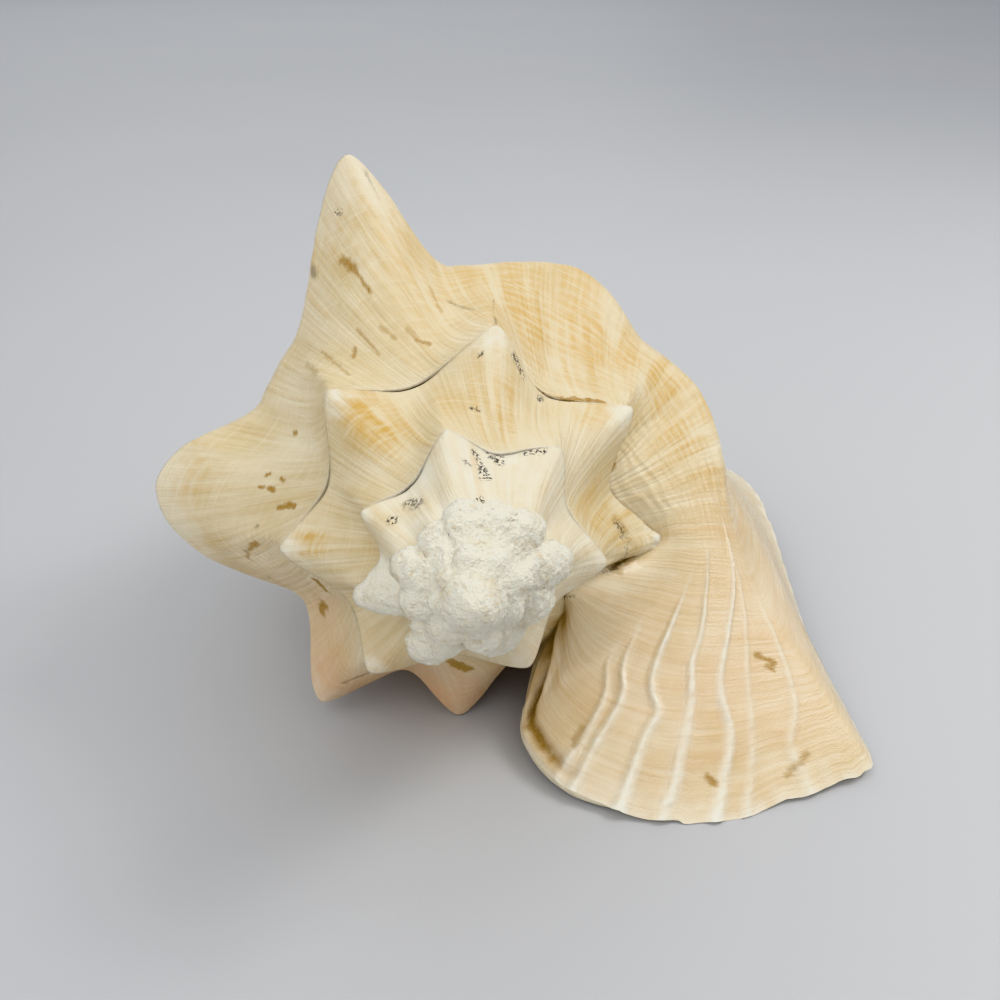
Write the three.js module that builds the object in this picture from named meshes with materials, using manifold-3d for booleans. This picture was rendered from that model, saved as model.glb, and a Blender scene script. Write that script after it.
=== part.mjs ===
// Queen conch shell, lying with its mouth down on a table.
// Millimetres, +Z up. +Y runs along the shell in plan, from the spire to the siphonal canal.
//
// The shell is one grown piece, so it is one closed solid. Its surface follows how the animal
// builds it: one profile (ramp, shoulder, side) turns round the axis while it grows by a fixed
// factor per turn, spines rise at the shoulder, each whorl starts on the shoulder of the one
// before, and the last fifth of a turn opens into the flared lip.
//
// "turn" counts whorls: its fraction is the clock position seen from the spire, 0 at the top.

import * as THREE from 'three';
import { mergeVertices } from 'three/addons/utils/BufferGeometryUtils.js';
import Module from 'manifold-3d';

// Driving dimensions
const GROWTH = 1.6846;            // size gained per turn
const SHOULDER_RADIUS = 43.7;     // spine-tip radius at turn 6
const SHOULDER_REACH = 1.168;     // distance of the shoulder down the axis, per shoulder radius
const AXIS_SLOPE = THREE.MathUtils.degToRad(16.54);
const APEX_HEIGHT = 70.5;
const CANAL_END = 213;            // how far down the axis the canal runs
const FIRST_TURN = 2.4;
const EXPOSED_TURN = 6.4;         // from here on no later whorl covers the side
const LAST_TURN = 7.4;            // the rim of the lip
const CAVITY_TURN = 6.75;         // how far back the hollow goes
const FORMULA_END = 7.2;          // past here the lip flares out of the spiral
const FLAT_DEPTH = 0.9;           // wear on the points that it rests on

// Wall
const WALL = 4.2;
const RIM_ROUNDING = 1.2;
const SUTURE_DEPTH = 0.04;        // drop from shoulder to suture, per shoulder radius
const SUTURE_WALL = { rim: 9, deep: 17, over: 0.15 };   // from the suture to the hollow

// Mesh density
const STEPS_PER_TURN = 60;
const ROWS_ON_SPINES_FROM = 5.4;
const RAMP_COLUMNS = 7;
const SIDE_COLUMNS = 12;

// Inner wall: how it leaves the whorl before, ends in the canal and is rounded, in columns
const SUTURE_BLEND = { rim: 1.1, deep: 2.5 };
const SUTURE_SKIP = { columns: 3.2, over: 0.2 };
const CANAL_BLEND = 6;
const HOLLOW_SHORTENS = 0.25;
const HOLLOW_RETREAT = 78;        // how much earlier the deepest part of the hollow ends
const RELAX = { passes: 6, before: 4, after: 4 };
const NORMAL_STEP = { turn: 0.004, column: 0.4 };

// Spines: turn, reach per shoulder radius, half-widths before and after in turns, bluntness
const SPINES = [
  { turn: 4.714, reach: 1.0, before: 0.065, after: 0.055, blunt: 1.2 },
  { turn: 4.828, reach: 1.0, before: 0.055, after: 0.07, blunt: 1.2 },
  { turn: 4.978, reach: 1.0, before: 0.075, after: 0.07, blunt: 1.2 },
  { turn: 5.126, reach: 1.0, before: 0.075, after: 0.08, blunt: 1.2 },
  { turn: 5.287, reach: 1.0, before: 0.08, after: 0.075, blunt: 1.2 },
  { turn: 5.438, reach: 0.98, before: 0.075, after: 0.085, blunt: 1.2 },
  { turn: 5.607, reach: 1.0, before: 0.085, after: 0.07, blunt: 1.15 },
  { turn: 5.752, reach: 1.0, before: 0.07, after: 0.07, blunt: 1.15 },
  { turn: 5.893, reach: 1.0, before: 0.07, after: 0.07, blunt: 1.15 },
  { turn: 6.041, reach: 1.0, before: 0.075, after: 0.065, blunt: 1.15 },
  { turn: 6.172, reach: 1.0, before: 0.065, after: 0.06, blunt: 1.15 },
  { turn: 6.286, reach: 1.0, before: 0.055, after: 0.05, blunt: 1.2 },
  { turn: 6.502, reach: 0.93, before: 0.06, after: 0.05, blunt: 1.35 },
  { turn: 6.602, reach: 0.96, before: 0.05, after: 0.065, blunt: 1.3 },
  { turn: 6.769, reach: 1.04, before: 0.1, after: 0.075, blunt: 1.9 },
  { turn: 6.969, reach: 1.163, before: 0.085, after: 0.058, blunt: 1.25 },
  { turn: 7.105, reach: 0.871, before: 0.075, after: 0.06, blunt: 1.7 },
  { turn: 7.215, reach: 0.9, before: 0.06, after: 0.07, blunt: 1.8 },
];
const EARLY_SPINES = { last: 4.6, spacing: 0.151, first: 2.0, reach: 0.92, width: 0.07, blunt: 1.4 };
const SPINE_DECAY = { reach: 0.2, power: 1.2 };   // how a spine fades down the side, per shoulder radius
const SPINE_RISE = 1.7;           // how late a spine rises on the ramp
const RAMP_HOLLOW = 1.3;          // above 1 the ramp is concave

// Shoulder between spines, per shoulder radius, by turn
const WEB = [[0, 0.78], [4.5, 0.76], [6.4, 0.75], [6.55, 0.72], [6.68, 0.67], [6.87, 0.742],
  [7.02, 0.76], [7.15, 0.815], [7.25, 0.86]];

// Side and canal
const SIDE_LENGTH = 1.88;         // axial length of the whorl's side, per shoulder radius
const SIDE_CURVE = 1.55;
const PILLAR = { radius: 5, canal: 6.5, from: 6.5, over: 0.6, taper: 4, length: 60, blend: 6, rise: 25 };
const INNER_SPINE_SHARE = 0.2;    // how much of a spine shows on the walls of the hollow
const CANAL_ROUNDING = 20;
const CANAL_TIP = 0.4;            // radius left at the very end

// The shoulder turns back towards the spire as the lip begins
const SHOULDER_TURNS_BACK = { from: 7.105, over: 0.095, by: 15.3, power: 1.3 };

// Near its end the last whorl climbs over the one before, up to the shoulder before that
const CLIMB = { up: 6.288, upOver: 0.05, down: 6.338, downOver: 0.058, share: 0.88 };

// Growth lines of the flared lip, one and two steps past the spiral's end, as
// [place along the line, x, y, z]
const LIP_STEP = 0.1;
const LIP_MEETS_SUTURE = 0.3;     // share of the ramp over which it is drawn to the suture
const LIP_RAMP_INNER = [[0, 46, 53, 43], [0.17, 49.5, 50.5, 42.5], [0.29, 53, 49.5, 42],
  [0.43, 57, 49, 41.3], [0.58, 61, 49.3, 40.5], [0.72, 65, 50, 39.2], [0.86, 68.5, 51, 37.3],
  [1, 72, 52, 35]];
const LIP_RAMP_EDGE = [[0, 24, 50, 22], [0.08, 16, 42.5, 13], [0.17, 12, 34, 7],
  [0.29, 15.5, 22, 4.5], [0.43, 27, 12, 3.5], [0.58, 44, 7.5, 3.2], [0.72, 59, 7.5, 3.2],
  [0.86, 75, 9.5, 3.5], [1, 90, 12, 4]];
const LIP_SIDE_INNER = [[0, 74, 55, 35], [0.1, 79, 68, 36], [0.2, 83, 84, 35], [0.32, 85.5, 102, 33],
  [0.44, 84, 120, 31], [0.55, 78, 137, 28.5], [0.65, 69, 152, 25.5], [0.74, 57, 166, 22],
  [0.81, 46, 177, 19.5], [0.86, 38, 185, 18], [0.91, 29, 193, 16], [0.96, 19, 202, 13.5],
  [1, 10, 210.5, 11]];
const LIP_SIDE_EDGE = [[0, 91, 15.5, 4], [0.1, 92, 36, 6], [0.2, 93.5, 56, 8.5],
  [0.32, 98.5, 80, 11], [0.44, 104, 104, 12.5], [0.55, 107, 124, 12.5], [0.65, 106.5, 143, 10],
  [0.74, 99, 160, 6], [0.81, 84, 171, 3.5], [0.86, 67, 172.5, 8], [0.91, 50, 181, 8],
  [0.96, 30, 197, 4.5], [1, 12, 209, 1.1]];

// Frame of the shell's axis
const APEX = new THREE.Vector3(0, 0, APEX_HEIGHT);
const AXIS = new THREE.Vector3(0, Math.cos(AXIS_SLOPE), -Math.sin(AXIS_SLOPE));
const UP = new THREE.Vector3(0, Math.sin(AXIS_SLOPE), Math.cos(AXIS_SLOPE));
const RIGHT = new THREE.Vector3(1, 0, 0);

const clamp = THREE.MathUtils.clamp;
const ease = (x) => THREE.MathUtils.smoothstep(x, 0, 1);

/** Smooth value at x through rows [x, value, ...], as an array of the values. */
function through(rows, x) {
  const last = rows.length - 1;
  let i = 0;
  while (i < last - 1 && x > rows[i + 1][0]) i += 1;
  const slope = (k, c) => {
    const a = rows[Math.max(k - 1, 0)];
    const b = rows[Math.min(k + 1, last)];
    return (b[c] - a[c]) / (b[0] - a[0]);
  };
  const [p, q] = [rows[i], rows[i + 1]];
  const span = q[0] - p[0];
  const s = clamp((x - p[0]) / span, 0, 1);
  return p.slice(1).map((value, k) => hermite(
    s, value, slope(i, k + 1) * span, q[k + 1], slope(i + 1, k + 1) * span,
  ));
}

function hermite(s, p, m, q, n) {
  const s2 = s * s;
  const s3 = s2 * s;
  return (2 * s3 - 3 * s2 + 1) * p + (s3 - 2 * s2 + s) * m + (3 * s2 - 2 * s3) * q + (s3 - s2) * n;
}

function allSpines() {
  const { last, spacing, first, reach, width, blunt } = EARLY_SPINES;
  const early = [];
  for (let turn = last; turn > first; turn -= spacing) {
    early.push({ turn, reach, before: width, after: width, blunt });
  }
  return early.concat(SPINES);
}

const SPINE_LIST = allSpines();
const web = (turn) => through(WEB, turn)[0];
const shoulderRadius = (turn) => SHOULDER_RADIUS * GROWTH ** (turn - 6);

/** How far the nearest spine stands out past the shoulder at this turn. */
function spineHeight(turn) {
  let height = 0;
  for (const spine of SPINE_LIST) {
    const x = turn < spine.turn
      ? (spine.turn - turn) / spine.before
      : (turn - spine.turn) / spine.after;
    if (x >= 1) continue;
    height = Math.max(height, (spine.reach - web(spine.turn)) * (1 - x ** spine.blunt) ** 2);
  }
  return height * shoulderRadius(turn);
}

/** Shoulder at this turn: distance down the axis, radius between spines, spine height. */
function shoulder(turn) {
  const radius = shoulderRadius(turn);
  const back = Math.max(0, (turn - SHOULDER_TURNS_BACK.from) / SHOULDER_TURNS_BACK.over);
  return {
    along: SHOULDER_REACH * radius - SHOULDER_TURNS_BACK.by * back ** SHOULDER_TURNS_BACK.power,
    radius: web(turn) * radius,
    spine: spineHeight(turn),
  };
}

/** Side of the whorl, v from 0 at the suture to 1 at the end of the canal. */
function side(turn, v, spineShare = 1) {
  const size = shoulderRadius(turn);
  const { along, radius, spine } = shoulder(turn);
  const start = along + SUTURE_DEPTH * size;
  const end = turn < EXPOSED_TURN ? CANAL_END - hollowRetreat(turn) : CANAL_END;
  const here = start + (end - start) * v;
  const down = clamp((here - along) / (size * SIDE_LENGTH), 0, 1);
  const body = radius * (1 - down ** SIDE_CURVE);
  const fade = ((here - along) / (SPINE_DECAY.reach * size)) ** SPINE_DECAY.power;
  const rib = spineShare * spine * Math.exp(-fade);
  const pillar = PILLAR.radius + PILLAR.canal * clamp((turn - PILLAR.from) / PILLAR.over, 0, 1)
    + PILLAR.taper * clamp((CANAL_END - here) / PILLAR.length, 0, 1);
  const rise = ease((here - start) / PILLAR.rise);
  const joined = body + rise * PILLAR.blend * Math.log(1 + Math.exp((pillar - body) / PILLAR.blend));
  const tip = clamp((CANAL_END - here) / CANAL_ROUNDING, 0, 1);
  return [here, joined * (CANAL_TIP + (1 - CANAL_TIP) * Math.sqrt(tip * (2 - tip))) + rib];
}

/** The hollow ends further from the canal's tip the deeper it goes. */
function hollowRetreat(turn) {
  return HOLLOW_RETREAT * clamp((EXPOSED_TURN - turn) / (LAST_TURN - CAVITY_TURN), 0, 1);
}

/** Share of the ramp of a whorl that the next whorl leaves uncovered. */
function uncovered(turn) {
  const up = ease((turn - CLIMB.up) / CLIMB.upOver);
  const down = ease((turn - CLIMB.down) / CLIMB.downOver);
  return 1 - CLIMB.share * up * (1 - down);
}

/** Where the whorl starts, on the whorl before it. */
function suture(turn, spineShare = 1) {
  const below = turn - 1;
  if (below < FIRST_TURN) return [0, 0];
  const [along, radius] = side(below, 0, spineShare);
  const share = uncovered(below);
  if (share === 1) return [along, radius];
  const [alongBefore, radiusBefore] = side(below - 1, 0, spineShare);
  return [alongBefore + (along - alongBefore) * share, radiusBefore + (radius - radiusBefore) * share];
}

/** Ramp of the whorl, w from 0 at the suture to 1 at the shoulder. */
function ramp(turn, w, spineShare = 1) {
  const [fromAlong, fromRadius] = suture(turn, spineShare);
  const { along, radius, spine } = shoulder(turn);
  return [
    fromAlong + (along - fromAlong) * w,
    fromRadius + (radius - fromRadius) * w ** RAMP_HOLLOW + spineShare * spine * w ** SPINE_RISE,
  ];
}

function place(turn, [along, radius]) {
  const angle = 2 * Math.PI * turn;
  return APEX.clone()
    .addScaledVector(AXIS, along)
    .addScaledVector(UP, radius * Math.cos(angle))
    .addScaledVector(RIGHT, radius * Math.sin(angle));
}

/** A point of the flared lip, through two growth lines of the spiral and two of the lip. */
function flared(turn, x, profile, inner, edge, spineShare) {
  const before = FORMULA_END - LIP_STEP;
  const lines = [
    place(before, profile(before, x, spineShare)),
    place(FORMULA_END, profile(FORMULA_END, x, spineShare)),
    new THREE.Vector3(...through(inner, x)),
    new THREE.Vector3(...through(edge, x)),
  ];
  lines.push(lines[3].clone().multiplyScalar(2).sub(lines[2]));
  const k = turn < FORMULA_END + LIP_STEP ? 1 : 2;
  const s = (turn - FORMULA_END) / LIP_STEP - (k - 1);
  const [a, b, c, d] = lines.slice(k - 1, k + 3);
  const at = (axis) => hermite(s, b[axis], (c[axis] - a[axis]) / 2, c[axis], (d[axis] - b[axis]) / 2);
  return new THREE.Vector3(at('x'), at('y'), at('z'));
}

/** Outside of the shell on the ramp. */
function rampPoint(turn, w, spineShare = 1) {
  if (turn <= FORMULA_END) return place(turn, ramp(turn, w, spineShare));
  const point = flared(turn, w, ramp, LIP_RAMP_INNER, LIP_RAMP_EDGE, spineShare);
  const toSuture = place(turn, suture(turn, spineShare))
    .sub(flared(turn, 0, ramp, LIP_RAMP_INNER, LIP_RAMP_EDGE, spineShare));
  return point.addScaledVector(toSuture, clamp(1 - w / LIP_MEETS_SUTURE, 0, 1) ** 2);
}

/** Outside of the shell on the side. */
function sidePoint(turn, v, spineShare = 1) {
  if (turn <= FORMULA_END) return place(turn, side(turn, v, spineShare));
  return flared(turn, v, side, LIP_SIDE_INNER, LIP_SIDE_EDGE, spineShare);
}

// Columns across one whorl: the ramp, the suture, its wall and the side
const SUTURE_COLUMN = RAMP_COLUMNS + 1;
const WALL_COLUMN = SUTURE_COLUMN + 2;
const COLUMNS = WALL_COLUMN + SIDE_COLUMNS + 1;

/** Distance from the suture to where the hollow starts; it is least at the rim of the lip. */
function sutureWall(turn) {
  const { rim, deep, over } = SUTURE_WALL;
  return rim + (deep - rim) * clamp((EXPOSED_TURN - turn) / over, 0, 1);
}

/** Outside point of one column. */
function outside(turn, column, spineShare = 1) {
  if (column <= RAMP_COLUMNS) return rampPoint(turn, column / RAMP_COLUMNS, spineShare);
  if (column < SUTURE_COLUMN) {
    const crest = rampPoint(turn, 1, spineShare);
    return crest.lerp(sidePoint(turn, 0, spineShare), column - RAMP_COLUMNS);
  }
  const length = CANAL_END - shoulder(Math.min(turn, FORMULA_END)).along;
  const wall = sutureWall(turn) / length;
  if (column <= WALL_COLUMN) return sidePoint(turn, (wall * (column - SUTURE_COLUMN)) / 2, spineShare);
  const share = (column - WALL_COLUMN) / SIDE_COLUMNS;
  return sidePoint(turn, wall + (1 - wall) * share, spineShare);
}

/** Turns at which the surface has a row, with rows moved on to the tips of the large spines. */
function rowTurns() {
  const phases = Array.from({ length: STEPS_PER_TURN }, (_, k) => k / STEPS_PER_TURN);
  for (const spine of SPINES.filter(({ turn }) => turn > ROWS_ON_SPINES_FROM)) {
    const phase = THREE.MathUtils.euclideanModulo(spine.turn - FIRST_TURN, 1);
    const nearest = Math.round(phase * STEPS_PER_TURN) % STEPS_PER_TURN;
    if (nearest !== 0) phases[nearest] = phase;
  }
  const count = Math.round((LAST_TURN - FIRST_TURN) * STEPS_PER_TURN);
  return Array.from({ length: count + 1 }, (_, row) => (
    FIRST_TURN + Math.floor(row / STEPS_PER_TURN) + phases[row % STEPS_PER_TURN]
  ));
}

/** Builds the closed surface as lists of vertices and triangles. */
class ShellSurface {
  constructor() {
    this.turns = rowTurns();
    this.lastRow = this.turns.length - 1;
    this.exposedRow = this.rowOf(EXPOSED_TURN);
    this.cavityRow = this.rowOf(CAVITY_TURN);
    this.positions = [];
    this.triangles = [];
    this.addVertices();
    this.addOutside();
    this.addHollow();
    this.addRim();
    this.addEnds();
  }

  rowOf(turn) {
    return Math.round((turn - FIRST_TURN) * STEPS_PER_TURN);
  }

  addVertex(point) {
    this.positions.push(point.x, point.y, point.z);
    return this.positions.length / 3 - 1;
  }

  addVertices() {
    this.apex = this.addVertex(APEX);
    this.grid = this.turns.map((turn, row) => {
      const before = row - STEPS_PER_TURN;
      return Array.from({ length: COLUMNS }, (_, column) => {
        if (column === 0) return before < 0 ? this.apex : null;
        const share = row < this.exposedRow && column > SUTURE_COLUMN ? INNER_SPINE_SHARE : 1;
        return this.isUsed(row, column) ? this.addVertex(outside(turn, column, share)) : null;
      });
    });
    this.grid.forEach((line, row) => {
      if (line[0] === null) line[0] = this.grid[row - STEPS_PER_TURN][SUTURE_COLUMN];
    });
    this.lowerToSuture();
    this.inside = this.turns.map((turn, row) => (row < this.cavityRow ? [] : this.insideRow(turn, row)));
    this.rim = this.inside[this.lastRow].map((inner, column) => this.rimVertex(inner, column));
  }

  /** Rows past the exposed turn have every column; earlier ones only what shows. */
  isUsed(row, column) {
    if (row >= this.exposedRow || column <= SUTURE_COLUMN) return true;
    return column >= WALL_COLUMN && row >= this.cavityRow - STEPS_PER_TURN;
  }

  /** Moves the shoulder of a whorl back up its ramp where the next whorl climbs over it. */
  lowerToSuture() {
    this.turns.forEach((turn, row) => {
      const share = uncovered(turn);
      if (share === 1 || row >= this.exposedRow) return;
      for (let column = 1; column <= SUTURE_COLUMN; column += 1) {
        const w = column / SUTURE_COLUMN;
        const point = place(turn, suture(turn)).lerp(place(turn, suture(turn + 1)), w);
        this.positions.splice(this.grid[row][column] * 3, 3, point.x, point.y, point.z);
      }
    });
  }

  position(index) {
    return new THREE.Vector3().fromArray(this.positions, index * 3);
  }

  /** One row of the inner wall, ending on the whorl before at both ends. */
  insideRow(turn, row) {
    const before = this.grid[row - STEPS_PER_TURN];
    const depth = clamp((LAST_TURN - turn) / (LAST_TURN - CAVITY_TURN), 0, 1);
    const first = this.position(before[WALL_COLUMN]);
    const last = this.position(before[COLUMNS - 1]);
    const inward = clamp((LAST_TURN - turn) / SUTURE_SKIP.over, 0, 1);
    const blend = SUTURE_BLEND.rim + (SUTURE_BLEND.deep - SUTURE_BLEND.rim) * inward;
    const points = before.map((_, column) => {
      const point = this.insidePoint(turn, column, 1 - HOLLOW_SHORTENS * depth);
      point.lerp(first, 1 - ease(column / blend));
      return point.lerp(last, ease((column - COLUMNS + 1) / CANAL_BLEND + 1));
    });
    this.relax(points);
    return points.map((point, column) => {
      if (column === 0) return before[WALL_COLUMN];
      if (column === COLUMNS - 1) return before[COLUMNS - 1];
      return this.addVertex(point);
    });
  }

  /** Rounds the inner wall behind the shoulder, where an even offset would fold. */
  relax(points) {
    for (let pass = 0; pass < RELAX.passes; pass += 1) {
      const old = points.map((point) => point.clone());
      for (let column = SUTURE_COLUMN - RELAX.before; column <= WALL_COLUMN + RELAX.after; column += 1) {
        points[column].addVectors(old[column - 1], old[column + 1]).multiplyScalar(0.5);
        points[column].lerp(old[column], 0.5);
      }
    }
  }

  insidePoint(turn, column, reach) {
    const skip = SUTURE_SKIP.columns * clamp((LAST_TURN - turn) / SUTURE_SKIP.over, 0, 1);
    let c = column;
    if (column > WALL_COLUMN) c = WALL_COLUMN + (column - WALL_COLUMN) * reach;
    if (column < RAMP_COLUMNS) c = skip + (RAMP_COLUMNS - skip) * (column / RAMP_COLUMNS);
    const at = (turns, columns) => outside(
      Math.min(turn + turns, LAST_TURN), clamp(c + columns, 0, COLUMNS - 1), INNER_SPINE_SHARE,
    );
    const alongTurn = at(NORMAL_STEP.turn, 0).sub(at(-NORMAL_STEP.turn, 0));
    const across = at(0, NORMAL_STEP.column).sub(at(0, -NORMAL_STEP.column));
    return at(0, 0).addScaledVector(alongTurn.cross(across).normalize(), -WALL);
  }

  rimVertex(inner, column) {
    if (column === 0) return this.grid[this.exposedRow][SUTURE_COLUMN + 1];
    const outer = this.position(this.grid[this.lastRow][column]);
    const grows = outer.clone().sub(this.position(this.grid[this.lastRow - 1][column])).normalize();
    return this.addVertex(outer.lerp(this.position(inner), 0.5).addScaledVector(grows, RIM_ROUNDING));
  }

  quad(a, b, c, d) {
    this.triangle(a, b, c);
    this.triangle(a, c, d);
  }

  triangle(a, b, c) {
    if (a !== b && b !== c && c !== a) this.triangles.push(a, b, c);
  }

  addOutside() {
    for (let row = 0; row < this.lastRow; row += 1) {
      for (let column = 0; column < COLUMNS - 1; column += 1) {
        if (!this.isUsed(row, column) || !this.isUsed(row, column + 1)) continue;
        const [here, next] = [this.grid[row], this.grid[row + 1]];
        this.quad(here[column], next[column], next[column + 1], here[column + 1]);
      }
    }
  }

  addHollow() {
    for (let row = this.cavityRow; row < this.lastRow; row += 1) {
      for (let column = 0; column < COLUMNS - 1; column += 1) {
        const [here, next] = [this.inside[row], this.inside[row + 1]];
        this.quad(here[column], here[column + 1], next[column + 1], next[column]);
      }
    }
  }

  addRim() {
    const outer = this.grid[this.lastRow];
    const inner = this.inside[this.lastRow];
    for (let column = 0; column < COLUMNS - 1; column += 1) {
      this.quad(outer[column + 1], outer[column], this.rim[column], this.rim[column + 1]);
      this.quad(this.rim[column + 1], this.rim[column], inner[column], inner[column + 1]);
    }
  }

  /** Closes the first row, the deep end of the hollow and the tip of the canal. */
  addEnds() {
    const first = this.grid[0];
    for (let column = 1; column < SUTURE_COLUMN; column += 1) {
      this.triangle(this.apex, first[column], first[column + 1]);
    }
    this.zip(this.inside[this.cavityRow], this.grid[this.cavityRow - STEPS_PER_TURN].slice(WALL_COLUMN));
    const canal = [];
    for (let row = this.exposedRow; row <= this.lastRow; row += 1) canal.push(this.grid[row][COLUMNS - 1]);
    this.fan([...canal, this.rim[COLUMNS - 1]]);
  }

  /** Joins two lines of vertices that share their first and last vertex. */
  zip(outer, inner) {
    let k = 0;
    for (let column = 0; column < outer.length - 1; column += 1) {
      this.triangle(outer[column + 1], outer[column], inner[k]);
      const target = Math.round(((column + 1) / (outer.length - 1)) * (inner.length - 1));
      for (; k < target; k += 1) this.triangle(outer[column + 1], inner[k], inner[k + 1]);
    }
  }

  fan(loop) {
    const centre = new THREE.Vector3();
    loop.forEach((index) => centre.add(this.position(index)));
    const middle = this.addVertex(centre.divideScalar(loop.length));
    loop.forEach((index, k) => this.triangle(middle, index, loop[(k + 1) % loop.length]));
  }
}

const SLAB_SPAN = 600;            // wider than the shell, to cut it off flat below

const wasm = await Module();
wasm.setup();

function solidOf(geometry) {
  const bare = geometry.clone();
  bare.deleteAttribute('normal');
  bare.deleteAttribute('uv');
  const merged = mergeVertices(bare);
  return new wasm.Manifold(new wasm.Mesh({
    numProp: 3,
    vertProperties: new Float32Array(merged.attributes.position.array),
    triVerts: new Uint32Array(merged.index.array),
  }));
}

function geometryOf(solid) {
  const mesh = solid.getMesh();
  const geometry = new THREE.BufferGeometry();
  geometry.setAttribute('position', new THREE.BufferAttribute(mesh.vertProperties, 3));
  geometry.setIndex(new THREE.BufferAttribute(mesh.triVerts, 1));
  geometry.computeVertexNormals();
  return geometry;
}

/** The shell, worn flat where it touches the table. */
function shellGeometry() {
  const surface = new ShellSurface();
  const geometry = new THREE.BufferGeometry();
  geometry.setAttribute('position', new THREE.Float32BufferAttribute(surface.positions, 3));
  geometry.setIndex(surface.triangles);
  geometry.computeBoundingBox();
  geometry.translate(0, 0, -geometry.boundingBox.min.z - FLAT_DEPTH);
  const slab = new THREE.BoxGeometry(SLAB_SPAN, SLAB_SPAN, SLAB_SPAN).translate(0, 0, -SLAB_SPAN / 2);
  return geometryOf(solidOf(geometry).subtract(solidOf(slab)));
}

const shell = new THREE.Mesh(
  shellGeometry(),
  new THREE.MeshStandardMaterial({ color: 0xe9d8b8, roughness: 0.55, metalness: 0 }),
);
shell.name = 'conch_shell';
shell.geometry.computeBoundingBox();
const box = shell.geometry.boundingBox;
shell.position.set(-(box.min.x + box.max.x) / 2, -(box.min.y + box.max.y) / 2, 0);

const group = new THREE.Group();
group.add(shell);

export default group;
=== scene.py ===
"""A queen conch shell that lies with its mouth down on a table.

The skin follows the way the shell grows: one profile turns round the axis and gets larger,
spines rise at the shoulder, and the last part of a turn opens into the flared lip. Lengths in
the growth form are millimetres, with the apex above the origin; pieces are moved to the part's
frame and to metres when their meshes are made.
"""

import logging
import math
from collections.abc import Callable
from dataclasses import dataclass, field
from enum import Enum
from functools import cached_property

import bpy
import numpy as np
from mathutils import Matrix, Vector


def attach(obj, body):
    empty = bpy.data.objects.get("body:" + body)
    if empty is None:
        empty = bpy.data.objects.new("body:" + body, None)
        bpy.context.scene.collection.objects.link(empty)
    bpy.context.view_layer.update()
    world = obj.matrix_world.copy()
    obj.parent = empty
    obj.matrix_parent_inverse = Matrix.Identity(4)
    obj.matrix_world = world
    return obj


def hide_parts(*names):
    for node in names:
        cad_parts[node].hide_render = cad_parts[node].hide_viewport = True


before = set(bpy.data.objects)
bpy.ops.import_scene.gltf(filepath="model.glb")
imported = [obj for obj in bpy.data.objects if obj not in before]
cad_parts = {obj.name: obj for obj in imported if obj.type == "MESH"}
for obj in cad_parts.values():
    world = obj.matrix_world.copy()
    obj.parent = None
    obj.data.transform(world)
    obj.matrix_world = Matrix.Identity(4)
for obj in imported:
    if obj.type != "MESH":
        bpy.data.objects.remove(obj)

LOG = logging.getLogger("conch")
NODE = "conch_shell"
BODY = "root"
FORM_TO_PART = np.array([19.9988, 105.3339, 1.1302])    # millimetres
METRES = 0.001
Array = np.ndarray


def unit(x: Array) -> Array:
    """x kept between 0 and 1."""
    return np.clip(x, 0.0, 1.0)


def directions(v: Array) -> Array:
    """Vectors made one unit long."""
    return v / np.maximum(np.linalg.norm(v, axis=-1, keepdims=True), 1e-9)


def wave(x: Array) -> Array:
    """Wave from -1 to 1 that repeats at each unit."""
    return np.cos(2 * np.pi * x)


def ease(x: Array) -> Array:
    """Smooth step of x from 0 to 1."""
    x = unit(x)
    return x * x * (3 - 2 * x)


def hermite(s: Array, p: Array, m: Array, q: Array, n: Array) -> Array:
    """Cubic at s, from p with the slope m to q with the slope n."""
    s2, s3 = s * s, s * s * s
    return (2 * s3 - 3 * s2 + 1) * p + (s3 - 2 * s2 + s) * m + (3 * s2 - 2 * s3) * q + (s3 - s2) * n


def through(rows: Array, x: Array) -> Array:
    """Smooth values at x through rows of (x, value, ...)."""
    rows = np.asarray(rows, dtype=float)
    x = np.asarray(x, dtype=float)
    last = len(rows) - 1
    i = np.clip(np.searchsorted(rows[:, 0], x, side="left") - 1, 0, last - 1)
    before, after = np.maximum(np.arange(last + 1) - 1, 0), np.minimum(np.arange(last + 1) + 1, last)
    slopes = (rows[after, 1:] - rows[before, 1:]) / (rows[after, :1] - rows[before, :1])
    span = (rows[i + 1, 0] - rows[i, 0])[..., None]
    s = unit((x[..., None] - rows[i, :1]) / span)
    return hermite(s, rows[i, 1:], slopes[i] * span, rows[i + 1, 1:], slopes[i + 1] * span)


@dataclass(frozen=True)
class Spine:
    """One spine: its turn, reach per shoulder radius, half-widths in turns and bluntness."""

    turn: float
    reach: float
    before: float
    after: float
    blunt: float


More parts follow.
